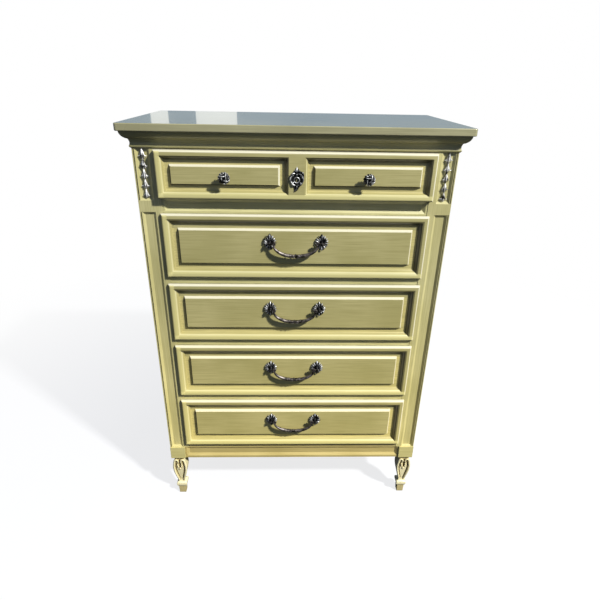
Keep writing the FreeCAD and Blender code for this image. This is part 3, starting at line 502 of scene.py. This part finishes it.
def twin(pattern, place, turn=0.0, flip=1, size=1.0):
    """Copy of a pattern with its own mesh, mirrored in X by a flip of -1, turned about Z and placed."""
    copy = pattern.copy()
    copy.data = pattern.data.copy()
    bpy.context.scene.collection.objects.link(copy)
    move = Matrix.Translation(Vector(place) * MM) @ Matrix.Rotation(turn, 4, "Z")
    copy.data.transform(move @ Matrix.Diagonal((flip * size, size, size, 1.0)))
    if flip < 0:
        copy.data.flip_normals()
    return copy


def set_in_place(piece, node, body, material):
    """Let a finished piece stand for a board or fitting of the measured model."""
    piece.data.materials.clear()
    piece.data.materials.append(material)
    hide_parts(node)
    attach(piece, body)


print("bench ready")

# %% Rods, beads, turned posts and drawn-up blocks
def rod(points, flat=1.0, sides=2):
    """Tapered rod through rows of x, y, z and radius, flattened towards y = 0."""
    start_fresh()
    bpy.ops.object.add(type="CURVE", location=(0, 0, 0))
    item = bpy.context.object
    line = item.data.splines.new("NURBS")
    line.points.add(len(points) - 1)
    for point, (x, y, z, radius) in zip(line.points, points):
        point.co = (x * MM, y * MM, z * MM, 1.0)
        point.radius = radius
    line.order_u = 3
    line.use_endpoint_u = True
    item.data.dimensions = "3D"
    item.data.bevel_depth = MM
    item.data.bevel_resolution = sides
    item.data.resolution_u = 5
    item.data.use_fill_caps = True
    item.scale.y = flat
    bpy.ops.object.convert(target="MESH")
    return apply_place()


def to_side(rows, side):
    """Rows of a rod, mirrored to the left by a side of -1."""
    return [(side * x, y, z, radius) for x, y, z, radius in rows]


def bead(place, radii):
    """Rounded bead with its radii along X, Y and Z."""
    start_fresh()
    bpy.ops.mesh.primitive_uv_sphere_add(segments=16, ring_count=8, radius=MM, scale=radii,
                                         location=[value * MM for value in place])
    return apply_place()


def ring(place, radius, thickness, turn=(0.0, 0.0, 0.0), scale=(1, 1, 1)):
    """Round ring about an axis that is turned from Z."""
    start_fresh()
    bpy.ops.mesh.primitive_torus_add(major_radius=radius * MM, minor_radius=thickness * MM,
                                     major_segments=24, minor_segments=8, rotation=turn,
                                     location=[value * MM for value in place])
    bpy.context.object.scale = scale
    return apply_place()


def close_up(item):
    """Point all faces outwards and leave edit mode."""
    bpy.ops.mesh.select_all(action="SELECT")
    bpy.ops.mesh.normals_make_consistent(inside=False)
    bpy.ops.object.mode_set(mode="OBJECT")
    return item


def turned(profile, sides=24):
    """Turned piece along Y, closed at both ends, from rows of radius and depth."""
    start_fresh()
    radius, depth = profile[0]
    bpy.ops.mesh.primitive_circle_add(vertices=sides, radius=radius * MM, fill_type="NGON",
                                      location=(0, depth * MM, 0), rotation=(math.pi / 2, 0, 0))
    item = apply_place()
    bpy.ops.object.mode_set(mode="EDIT")
    bpy.ops.mesh.select_all(action="SELECT")
    for new_radius, new_depth in profile[1:]:
        bpy.ops.mesh.extrude_region_move(TRANSFORM_OT_translate={"value": (0, (new_depth - depth) * MM, 0)})
        share = new_radius / radius
        bpy.ops.transform.resize(value=(share, 1, share), center_override=(0, new_depth * MM, 0))
        radius, depth = new_radius, new_depth
    return close_up(item)


def drawn_up(levels):
    """Block drawn up level by level from rows of height, half width, front and back."""
    start_fresh()
    height, half, front, back = levels[0]
    middle = (front + back) / 2
    bpy.ops.mesh.primitive_plane_add(size=2 * MM, location=(0, middle * MM, height * MM))
    item = bpy.context.object
    item.scale = (half, (back - front) / 2, 1)
    apply_place()
    bpy.ops.object.mode_set(mode="EDIT")
    bpy.ops.mesh.select_all(action="SELECT")
    for new_height, new_half, new_front, new_back in levels[1:]:
        new_middle = (new_front + new_back) / 2
        rise = (0, (new_middle - middle) * MM, (new_height - height) * MM)
        bpy.ops.mesh.extrude_region_move(TRANSFORM_OT_translate={"value": rise})
        bpy.ops.transform.resize(value=(new_half / half, (new_back - new_front) / (back - front), 1),
                                 center_override=(0, new_middle * MM, new_height * MM))
        height, half, front, back, middle = new_height, new_half, new_front, new_back, new_middle
    return close_up(item)


print("tools ready")

# %% [markdown]
# ## Lyre feet
#
# Each foot is carved from one block. From the front it is a lyre: two scroll bands start at the top beside
# a narrow slit, roll outwards and run down to the ankle, and between them lies a sunk field with a string
# of beads on each side of the slit. Below come a collar and a square toe, and above, a narrow neck meets
# the block. The foot is drawn up level by level with the outline of the lyre, the slit and the two
# crescents are cut out of it, and the bands and beads are laid on its face, because a relief is easier to
# lay on than to dig out of one mesh.

# %% The foot's block
FOOT_LEVELS = [
    (0, 11.7, 5.2, 27.4), (1, 12.2, 4.7, 27.9), (35, 13.4, 3.4, 30.2), (36, 15.8, 1.6, 33.4),
    (39.5, 17.6, 0.3, 35.4), (42, 18.4, 0, 36), (50, 18.4, 0, 36), (51.5, 17.6, 0.8, 35.2),
    (54, 14.4, 4.6, 30), (57, 11.8, 7.4, 26.6), (61, 11.6, 8.4, 26), (66, 12.6, 8.2, 26.8),
    (80, 16, 7, 29.6), (94, 19.4, 6, 32.6), (108, 22.8, 5.3, 36.4), (122, 25, 4.9, 40.6),
    (135, 24.6, 4.7, 44), (146, 22, 4.6, 45.2), (155, 20.4, 4.6, 45.8), (161, 20.4, 4.6, 46),
    (166, 18.8, 5.4, 46), (169, 15.6, 9, 42), (178, 15.6, 9, 42),
]
SLIT_MIDDLE, SLIT_SIZE = (0, 4, 147), (5, 18, 38)
CRESCENT = [(10.5, 3.5, 152, 1.4), (16.6, 4, 143, 3.0), (16.8, 4, 127, 3.4), (13.4, 4.6, 104, 3.2),
            (7.6, 6.2, 82, 2.7), (3, 8, 66, 1.3)]


def cut_away(block, cutter):
    """Cut one shape out of a block and remove the cutter."""
    apply_modifier(block, "BOOLEAN", object=cutter, operation="DIFFERENCE", solver="EXACT")
    bpy.data.objects.remove(cutter)


foot_block = drawn_up(FOOT_LEVELS)
apply_modifier(foot_block, "BEVEL", width=1.2 * MM, segments=2, limit_method="ANGLE",
               angle_limit=math.radians(50))
start_fresh()
bpy.ops.mesh.primitive_cube_add(size=MM, location=[value * MM for value in SLIT_MIDDLE], scale=SLIT_SIZE)
cut_away(foot_block, apply_place())
for side in (-1, 1):
    cut_away(foot_block, rod(to_side(CRESCENT, side)))
print("foot block faces:", len(foot_block.data.polygons))

# %% The foot's bands and beads
STILE_MIDDLE = 423.5
FOOT_ROWS = (("front", -215, 0.0), ("rear", 258, math.pi))
SIDES = ((-1, "left"), (1, "right"))
BAND = [(8.8, 3.6, 146, 2.2), (4.8, 3.2, 152, 3.0), (5.2, 2.8, 163, 3.7), (12.5, 2.8, 168.5, 4.0),
        (18.2, 3.2, 161, 4.2), (20, 3.4, 148, 4.2), (22.4, 3.6, 134, 4.3), (20.8, 3.8, 112, 4.3),
        (16.2, 4.6, 92, 4.0), (11.4, 6.4, 73, 3.5), (8.8, 9, 58, 3.0)]
foot_parts = [foot_block]
for side in (-1, 1):
    foot_parts.append(rod(to_side(BAND, side), sides=3))
    foot_parts.append(bead((side * 7.4, 2.8, 141), (4.1, 3.6, 4.2)))
    foot_parts.append(bead((side * 6.2, 3.2, 132.4), (3.7, 3.3, 3.9)))
foot_parts.append(bead((0, 3.6, 123.4), (4.2, 3.4, 4.6)))
foot_parts.append(rod([(0, 6, 118, 1.6), (0, 7, 100, 1.8), (0, 9, 76, 0.6)]))
foot_pattern = join(foot_parts, "foot_pattern")
for place, row_y, turn in FOOT_ROWS:
    for side, name in SIDES:
        foot = join([twin(foot_pattern, (side * STILE_MIDDLE, row_y, 0), turn)], f"lyre_foot_{place}_{name}")
        set_in_place(foot, f"foot_{place}_{name}", "case", paint_foot)
bpy.data.objects.remove(foot_pattern)
print("foot faces:", len(foot.data.polygons))

# %% [markdown]
# ## Husk drops
#
# Five bellflowers hang one below the other on each short stile panel. They are cast in metal and stand
# about 9 mm proud, so they throw shadows. The eye sees a bright spine, crossed by small tips that flick
# out. Each flower has a slim back, a full body down its middle, and on each side an outer petal with a
# flicked tip and a small inner one. A lathe can't make leaves, so one flower is built from tapered rods and
# copied up the string, a little larger at each step, as the real drop tapers downwards.

# %% One bellflower, copied into a string
PITCH, FLOWERS = 27.0, 5
LOWEST_SIZE, GROWTH = 0.9, 0.025
PANEL_FACE, DROP_FOOT = -207, 1150
OUTER_PETAL = [(1.6, -4, 21, 1.0), (3.6, -5.4, 14, 1.7), (5, -5.8, 8, 1.6), (8, -5.6, 5.4, 1.3),
               (12.6, -4.6, 6.4, 0.4)]
INNER_PETAL = [(1, -5.6, 12, 0.8), (3.4, -6.4, 6, 1.4), (6.4, -5, 0.4, 0.5)]
flower_parts = [
    rod([(0, -0.5, 27, 1.4), (0, -1.4, 16, 2.4), (0, -1.2, 6, 2.4), (0, -0.5, -2, 1.2)], flat=0.5),
    rod([(0, -4, 27, 1.3), (0, -6.4, 21, 2.5), (0, -7.2, 13, 2.9), (0, -7.4, 6, 2.2), (0, -5.6, -3, 0.8)]),
]
for side in (-1, 1):
    flower_parts += [rod(to_side(OUTER_PETAL, side)), rod(to_side(INNER_PETAL, side))]
flower = join(flower_parts, "bellflower_pattern")
string = [twin(flower, (0, 0, order * PITCH), size=LOWEST_SIZE + GROWTH * order) for order in range(FLOWERS)]
husk_pattern = join(string, "husk_pattern")
for side, name in SIDES:
    husk = join([twin(husk_pattern, (side * STILE_MIDDLE, PANEL_FACE, DROP_FOOT))], f"bellflower_drop_{name}")
    set_in_place(husk, f"husk_{name}", "case", silvered)
for pattern in (flower, husk_pattern):
    bpy.data.objects.remove(pattern)
print("husk faces:", len(husk.data.polygons))

# %% [markdown]
# ## Rosettes and posts of the pulls
#
# A rosette is a small leafy spade with a point at the top and a smaller one at the bottom. Lobes fan out
# from a black core, where a turned post stands out with an eye for the bail. The lobes could be pushed out
# of one disc, but rods on a flat leaf keep the dark gaps between them. The nuts and thread ends inside the
# drawer belong to the same set, so they are made here too.

# %% Rosette, post, nut and thread end
def fixing(start):
    """Hexagonal nut and rounded thread end; start is the depth of the drawer front's inner side."""
    nut = turned([(5.3, start), (6, start + 0.5), (6, start + 3.5), (5.3, start + 4)], sides=6)
    return [nut, turned([(2.5, start - 2), (2.5, start + 7.4), (1.9, start + 8)], sides=16)]


TIPS = [(90, 26), (-90, 25.6)]
SIDE_LOBES = [(64, 23), (41, 21), (19, 20.6), (-4, 20.6), (-28, 20.4), (-56, 21)]
lobes = TIPS + SIDE_LOBES + [(180 - angle, reach) for angle, reach in SIDE_LOBES]
leaf = [(0, 0, 25.6, 0.8), (0, -2, 15, 9), (0, -4, 2, 17), (0, -4, -10, 14), (0, 0, -25, 1.5)]
rosette_parts = [rod(leaf, flat=0.22, sides=4)]
for angle, reach in lobes:
    across, up = math.cos(math.radians(angle)), math.sin(math.radians(angle))
    rosette_parts.append(rod([(distance * across, depth, distance * up, radius) for distance, depth, radius in
                              ((8.6, -4.4, 0.9), (0.6 * reach, -6.8, 1.7), (0.86 * reach, -5.4, 2.4),
                               (reach, -2.4, 0.8))]))
rosette_parts.append(turned([(6, -2), (5, -5), (3.4, -6.4), (3.2, -8.6), (4.2, -10), (4.4, -11.2),
                             (3, -12.6)]))
rosette_parts.append(ring((0, -16, 0), 4.5, 1.9, turn=(0, math.pi / 2, 0)))
rosette_parts += fixing(17)
rosette_pattern = join(rosette_parts, "rosette_pattern")
print("rosette faces:", len(rosette_pattern.data.polygons))

# %% [markdown]
# ## Bails
#
# The bail is one cast bow: a scroll at each end, a slender neck, a fuller grip, and in its middle a leaf
# wrap between two collars. It swings on two pins that run into the eyes of the posts. It could be swept
# along an arc, but a real bow isn't round: the rod has a radius at each point, so the grip swells by
# itself.

# %% Bail with its scrolls, pins and leaf wrap
BOW_END = 65.7
UPPER_LEAF = [(1.5, -4.4, -36.4, 0.8), (6, -6.2, -34.6, 2.4), (11, -5.4, -35.4, 2.1),
              (16.5, -4.6, -37.6, 0.4)]
LOWER_LEAF = [(1.5, -4.2, -38.6, 0.8), (5.5, -5.4, -40.8, 2.3), (10, -4.4, -41, 1.7),
              (14.5, -3.4, -39.2, 0.4)]
bow = [(BOW_END, 0, 1, 3.2), (65.6, -0.4, -8, 3.3), (61.5, -0.6, -17.5, 3.9), (51, -0.6, -26.5, 4.8),
       (34, -0.4, -34.5, 5.6), (16, -0.2, -38, 5.8)]
whole_bow = bow + [(0, -0.2, -38.2, 5.0)] + to_side(reversed(bow), -1)
bail_parts = [rod(whole_bow, sides=4)]
for side in (-1, 1):
    bail_parts.append(bead((side * BOW_END, 0, 0), (4.3, 4.0, 4.6)))
    bail_parts.append(ring((side * 65, -3, 1), 4.4, 1.8, turn=(math.pi / 2, 0, 0)))
    pin = turned([(2.5, 0), (2.5, 17), (2.0, 17.6)], sides=20)
    pin.rotation_euler.z = -side * math.pi / 2
    pin.location.x = side * BOW_END * MM
    start_fresh()
    pin.select_set(True)
    bpy.context.view_layer.objects.active = pin
    bail_parts.append(apply_place())
    bail_parts.append(ring((side * 17.5, -0.2, -36.8), 5.6, 1.1, turn=(0, math.pi / 2, 0)))
    bail_parts += [rod(to_side(UPPER_LEAF, side)), rod(to_side(LOWER_LEAF, side))]
bail_parts.append(ring((0, -0.2, -37.2), 5.2, 1.4, turn=(0, math.pi / 2, 0)))
bail_pattern = join(bail_parts, "bail_pattern")
print("bail faces:", len(bail_pattern.data.polygons))

# %% Four pulls
POST_X, FIELD, SWING_DEPTH, CORE = 77, -220, -236, 8
PULL_HEIGHTS = {2: 1023.5, 3: 803.5, 4: 583.5, 5: 363.5}
for number, height in PULL_HEIGHTS.items():
    pair = [twin(rosette_pattern, (side * POST_X, FIELD, height), flip=side) for side in (1, -1)]
    pair = join(pair, f"rosettes_{number}")
    set_in_place(pair, f"pull_{number}_rosettes", f"drawer_{number}", pewter)
    pair.data.materials.append(black_pewter)
    for face in pair.data.polygons:
        from_axis = math.hypot(abs(face.center.x) - POST_X * MM, face.center.z - height * MM)
        face.material_index = 1 if from_axis < CORE * MM else 0
    bail = join([twin(bail_pattern, (0, SWING_DEPTH, height))], f"swinging_bail_{number}")
    set_in_place(bail, f"pull_{number}_bail", f"bail_{number}", bail_pewter)
for pattern in (rosette_pattern, bail_pattern):
    bpy.data.objects.remove(pattern)
print("pulls:", len(PULL_HEIGHTS))

# %% [markdown]
# ## Knobs
#
# The two knobs of the top drawer are cast as whirling flowers: four ribs frame a dark square hollow and run
# on past its corners to the rim, and twelve swirling petals scallop the rim below them. The body is turned
# on a lathe in real life, and here it is extruded ring by ring. The ribs and petals are rods set round its
# axis in even steps.

# %% Knob with ribs and swirling petals
def on_wheel(radius, angle, depth, thickness):
    """Row of a rod's point, given by its distance and angle from the knob's axis."""
    return radius * math.cos(math.radians(angle)), depth, radius * math.sin(math.radians(angle)), thickness


PETALS, RIBS = 12, 4
KNOB_X, KNOB_SEAT, KNOB_HEIGHT = 199.25, -230, 1213.5
knob_parts = [turned([(8.4, 0), (8.4, -1.6), (6.4, -2.8), (4.9, -5.5), (4.9, -12.4), (8, -14.4), (13, -15.6),
                      (14.4, -17), (13, -19), (10, -21), (7.5, -21.6), (5.4, -20.6), (4.6, -16)], sides=32)]
for angle in range(0, 360, 360 // PETALS):
    knob_parts.append(rod([on_wheel(9, angle - 24, -22.6, 0.8), on_wheel(12.6, angle - 2, -24.2, 1.6),
                           on_wheel(15.9, angle + 10, -21.4, 1.9), on_wheel(15.7, angle + 24, -17.6, 1.5)]))
for angle in range(12, 372, 360 // RIBS):
    knob_parts.append(rod([on_wheel(8.4, angle - 50, -25, 0.7), on_wheel(5.8, angle - 4, -27.8, 1.3),
                           on_wheel(9.8, angle + 40, -27.6, 1.5), on_wheel(14.4, angle + 48, -24.6, 1.5),
                           on_wheel(17, angle + 56, -20, 0.6)]))
knob_parts += fixing(27)
knob_pattern = join(knob_parts, "knob_pattern")
for side, name in SIDES:
    knob = join([twin(knob_pattern, (side * KNOB_X, KNOB_SEAT, KNOB_HEIGHT))], f"whirl_knob_{name}")
    set_in_place(knob, f"knob_{name}", "drawer_1", pewter)
bpy.data.objects.remove(knob_pattern)
print("knob faces:", len(knob.data.polygons))

# %% [markdown]
# ## Keyhole plate
#
# The plate is an uneven rococo shield. A thin plate with a real keyhole lies underneath, made of a flat
# curve with two outlines, because a boolean cut would leave ragged faces. Scrolls, lobes and a leafy tip
# are laid on it as rods. The ground between them stays black, and the hole shows the painted front behind
# it.

# %% Plate with a keyhole
SHIELD = [(0, 33), (5, 25), (12, 20), (17, 19), (19.5, 12), (20, 2), (18, -8), (12, -16), (6, -21), (2, -31),
          (-6, -33), (-5, -24), (-9, -18), (-16, -10), (-20, 0), (-18, 10), (-12, 17), (-6, 22)]
KEYHOLE = [(0, 6.2), (4.2, 5.4), (4.2, 0), (2.4, -1.6), (2.8, -9.8), (-2.8, -9.8), (-2.4, -1.6), (-4.2, 0),
           (-4.2, 5.4)]
start_fresh()
bpy.ops.object.add(type="CURVE", location=(0, -1.2 * MM, 0), rotation=(math.pi / 2, 0, 0))
shield = bpy.context.object
shield.data.dimensions = "2D"
shield.data.fill_mode = "BOTH"
shield.data.extrude = 0.6 * MM
shield.data.bevel_depth = 0.6 * MM
shield.data.bevel_resolution = 2
for outline in (SHIELD, KEYHOLE):
    line = shield.data.splines.new("NURBS")
    line.points.add(len(outline) - 1)
    for point, (x, z) in zip(line.points, outline):
        point.co = (x * MM, z * MM, 0, 1)
    line.order_u = 3
    line.use_cyclic_u = True
bpy.ops.object.convert(target="MESH")
shield = apply_place()
print("plate faces:", len(shield.data.polygons))

# %% Scrolls, lobes and tip of the plate
SCROLLS = [
    [(-3, -2, 15.5, 1.0), (-9, -4.6, 18, 2.0), (-15.6, -4.6, 12.6, 2.2), (-17, -3.6, 6.4, 1.0)],
    [(-12, -3, 9.4, 0.9), (-17.4, -4.6, 6.4, 2.1), (-18.6, -4.6, -2, 2.2), (-15.4, -3.4, -6.4, 0.9)],
    [(3, -2, 15, 1.0), (9, -4.6, 15.5, 2.0), (15.4, -4.6, 10.6, 2.2), (17, -3.6, 5, 1.0)],
    [(12, -3, 8.4, 0.9), (17.4, -4.6, 5, 2.1), (18.6, -4.6, -3, 2.2), (15.4, -3.4, -7.4, 0.9)],
    [(9, -2.4, 15, 1.2), (14, -4.4, 18.5, 2.2), (18.4, -3.6, 18, 1.5), (19, -2.6, 14, 0.6)],
    [(-16, -2.4, -5, 1.4), (-13, -4.2, -13, 2.6), (-5, -3.6, -17, 2.2), (-2, -2.4, -14, 0.8)],
    [(16.6, -2.4, -6, 1.4), (13, -4.2, -14, 2.6), (5, -3.6, -18, 2.2), (2, -2.4, -14.6, 0.8)],
    [(-1, -2.4, -16, 1.6), (2.6, -4.4, -22, 3.0), (-1, -3.8, -28, 2.5), (-6, -2.4, -32.4, 0.6)],
    [(0, -2.4, 17, 1.4), (-0.6, -4.6, 23, 3.1), (0.4, -3.6, 29, 2.2), (0, -2.2, 33.4, 0.4)],
    [(-2, -2.4, 19, 1.2), (-6, -4, 23, 2.2), (-4.6, -3, 27.4, 0.6)],
    [(2, -2.4, 19, 1.2), (6.4, -4, 22.4, 2.2), (5.6, -3, 26.6, 0.6)],
]
PLATE_SEAT, PLATE_HEIGHT, GROUND_DEPTH = -235, 1210.5, 2.5
plate_parts = [shield]
for scroll in SCROLLS:
    plate_parts.append(rod(scroll))
plate_parts.append(ring((0, -2.8, -1.5), 7.4, 1.3, turn=(math.pi / 2, 0, 0), scale=(1, 1, 1.5)))
for x, z in ((-11, 11), (11.6, 9.6), (-10.5, -9), (11, -10), (0, 13.4), (0.4, -15.4)):
    plate_parts.append(bead((x, -3, z), (2.6, 2.4, 2.6)))
plate_pattern = join(plate_parts, "plate_pattern")
plate = join([twin(plate_pattern, (0, PLATE_SEAT, PLATE_HEIGHT))], "rococo_keyhole_plate")
bpy.data.objects.remove(plate_pattern)
set_in_place(plate, "escutcheon", "drawer_1", pewter)
plate.data.materials.append(black_pewter)
for face in plate.data.polygons:
    face.material_index = 1 if face.center.y > (PLATE_SEAT - GROUND_DEPTH) * MM else 0
print("keyhole plate faces:", len(plate.data.polygons))

# %% [markdown]
# ## Camera
#
# The photograph was taken standing, with a wide lens, a little left of the middle and tilted down by 25
# degrees, so the sides of the chest draw together towards the feet. The lens and place below came from
# measuring where known corners lie in the picture, and they are typed in directly. The axes of the camera
# are built from its heading, tilt and roll, and a matrix places it in one step.

# %% Place the camera
LENS, CAMERA_PLACE = 28.14, (-0.0267, -1.5502, 1.4644)
heading, tilt, roll = (math.radians(angle) for angle in (1.841, 25.34, 1.129))
forward = Vector((math.sin(heading) * math.cos(tilt), math.cos(heading) * math.cos(tilt), -math.sin(tilt)))
level_right = Vector((math.cos(heading), -math.sin(heading), 0.0))
level_up = level_right.cross(forward)
camera_right = level_right * math.cos(roll) + level_up * math.sin(roll)
camera_up = level_up * math.cos(roll) - level_right * math.sin(roll)
camera_data = bpy.data.cameras.new("photograph_view")
camera_data.sensor_width = 36.0
camera_data.lens = LENS
camera = bpy.data.objects.new("photograph_view", camera_data)
bpy.context.scene.collection.objects.link(camera)
turn = Matrix((camera_right, camera_up, -forward)).transposed().to_4x4()
camera.matrix_world = Matrix.Translation(CAMERA_PLACE) @ turn
bpy.context.scene.camera = camera
print("lens in mm:", camera_data.lens)

# %% [markdown]
# ## Floor, light and background
#
# The picture's background is white and its shadows have sharp edges. A matt pale floor catches the shadow.
# A key lamp stands high on the right, where the photograph's light comes from: a sun would do, but a small
# lamp far off gives edges as soft as the real ones. A bluish world fills the shade. Light Path tells the
# rays apart: the camera sees a white world and a floor that turns white away from the chest, mirror rays
# see a paler world, and for all other rays the floor is dark, so that it throws little light up.

# %% Floor
start_fresh()
bpy.ops.mesh.primitive_plane_add(size=12, location=(0, 0, 0))
floor = bpy.context.object
floor.name = "studio_floor"
material, tree = new_finish("pale_studio_floor")
rays = add_node(tree, "LightPath", {}).outputs
matt = add_node(tree, "BsdfDiffuse", {"Color": linear("#E8E8E8")})
white = add_node(tree, "Emission", {"Color": linear("#FFFFFF"), "Strength": 1.0})
place = add_node(tree, "TexCoord", {}).outputs["Object"]
away = add_node(tree, "VectorMath", {0: place}, operation="LENGTH").outputs["Value"]
glow = add_node(tree, "MapRange", {0: away, 1: 0.7, 2: 2.6, 3: 0.8, 4: 1.0})
seen = add_node(tree, "MixShader", {0: glow, 1: matt, 2: white})
dim = add_node(tree, "BsdfDiffuse", {"Color": linear("#383838")})
mixed = add_node(tree, "MixShader", {0: rays["Is Camera Ray"], 1: dim, 2: seen})
add_node(tree, "OutputMaterial", {"Surface": mixed})
floor.data.materials.append(material)
print("floor in m:", tuple(floor.dimensions))

# %% Key lamp
LAMP_PLACE, LAMP_TARGET = Vector((6.7, -5.8, 8.8)), Vector((0, 0, 0.75))
lamp_data = bpy.data.lights.new("key_lamp", "AREA")
lamp_data.size = 0.7
lamp_data.energy = 2550
lamp = bpy.data.objects.new("key_lamp", lamp_data)
bpy.context.scene.collection.objects.link(lamp)
lamp.location = LAMP_PLACE
lamp.rotation_mode = "QUATERNION"
lamp.rotation_quaternion = (LAMP_TARGET - LAMP_PLACE).to_track_quat("-Z", "Y")
print("lamp stands off in m:", round((LAMP_TARGET - LAMP_PLACE).length, 1))

# %% World
world = bpy.data.worlds.new("white_studio")
bpy.context.scene.world = world
world.use_nodes = True
tree = world.node_tree
tree.nodes.clear()
rays = add_node(tree, "LightPath", {}).outputs
fill = add_node(tree, "Background", {"Color": linear("#B5CBFF"), "Strength": 0.34})
gloss = add_node(tree, "Background", {"Color": linear("#E2ECF6"), "Strength": 0.3})
white = add_node(tree, "Background", {"Color": (1, 1, 1, 1), "Strength": 1.0})
lit = add_node(tree, "MixShader", {0: rays["Is Glossy Ray"], 1: fill, 2: gloss})
sky = add_node(tree, "MixShader", {0: rays["Is Camera Ray"], 1: lit, 2: white})
add_node(tree, "OutputWorld", {"Surface": sky})
bpy.context.scene.view_settings.view_transform = "Standard"
print("world:", world.name)

# %% [markdown]
# ## What the polished top mirrors
#
# In the photograph the slab mirrors a hazy blue with two white stripes. Painted on the slab, they would
# stay put when one walks round the chest, and a real mirror image wouldn't. So hazy cards stand 3 m behind
# the chest, blue with two white ones between them, where only mirror rays see them.

# %% Backdrop cards
CARD_DEPTH, CARD_LEVEL, CARD_HEIGHT = 3.0, 2.1, 2.0
CARD_SPANS = [(-8.0, -1.257), (-1.098, -0.851), (-0.483, 8.0)]
STRIP_SPANS = [(-1.257, -1.098), (-0.851, -0.483)]


def card_finish(name, low_tone, high_tone):
    """Even glow with a little haze."""
    material, tree = new_finish(name)
    place = add_node(tree, "TexCoord", {}).outputs["Object"]
    drawn = add_node(tree, "Mapping", {"Vector": place, "Scale": (1.5, 1.0, 60.0)})
    haze = add_node(tree, "TexNoise", {"Vector": drawn, "Scale": 1.0, "Detail": 4.0})
    tone = add_node(tree, "Mix", {0: haze, 6: linear(low_tone), 7: linear(high_tone)},
                    data_type="RGBA").outputs[2]
    glow = add_node(tree, "Emission", {"Color": tone, "Strength": 1.0})
    add_node(tree, "OutputMaterial", {"Surface": glow})
    return material


blue_card = card_finish("hazy_blue_backdrop_card", "#57738F", "#AFBFCB")
white_card = card_finish("white_curtain_card", "#E4EAEC", "#F4F8F8")
for spans, material in ((CARD_SPANS, blue_card), (STRIP_SPANS, white_card)):
    for left, right in spans:
        start_fresh()
        middle = ((left + right) / 2, CARD_DEPTH, CARD_LEVEL)
        bpy.ops.mesh.primitive_plane_add(size=1, location=middle, rotation=(math.pi / 2, 0, 0))
        card = bpy.context.object
        card.scale = (right - left, CARD_HEIGHT, 1)
        card = apply_place()
        card.name = "backdrop_card"
        card.data.materials.append(material)
        card.visible_camera = card.visible_diffuse = card.visible_shadow = False
print("backdrop cards:", len(CARD_SPANS) + len(STRIP_SPANS))
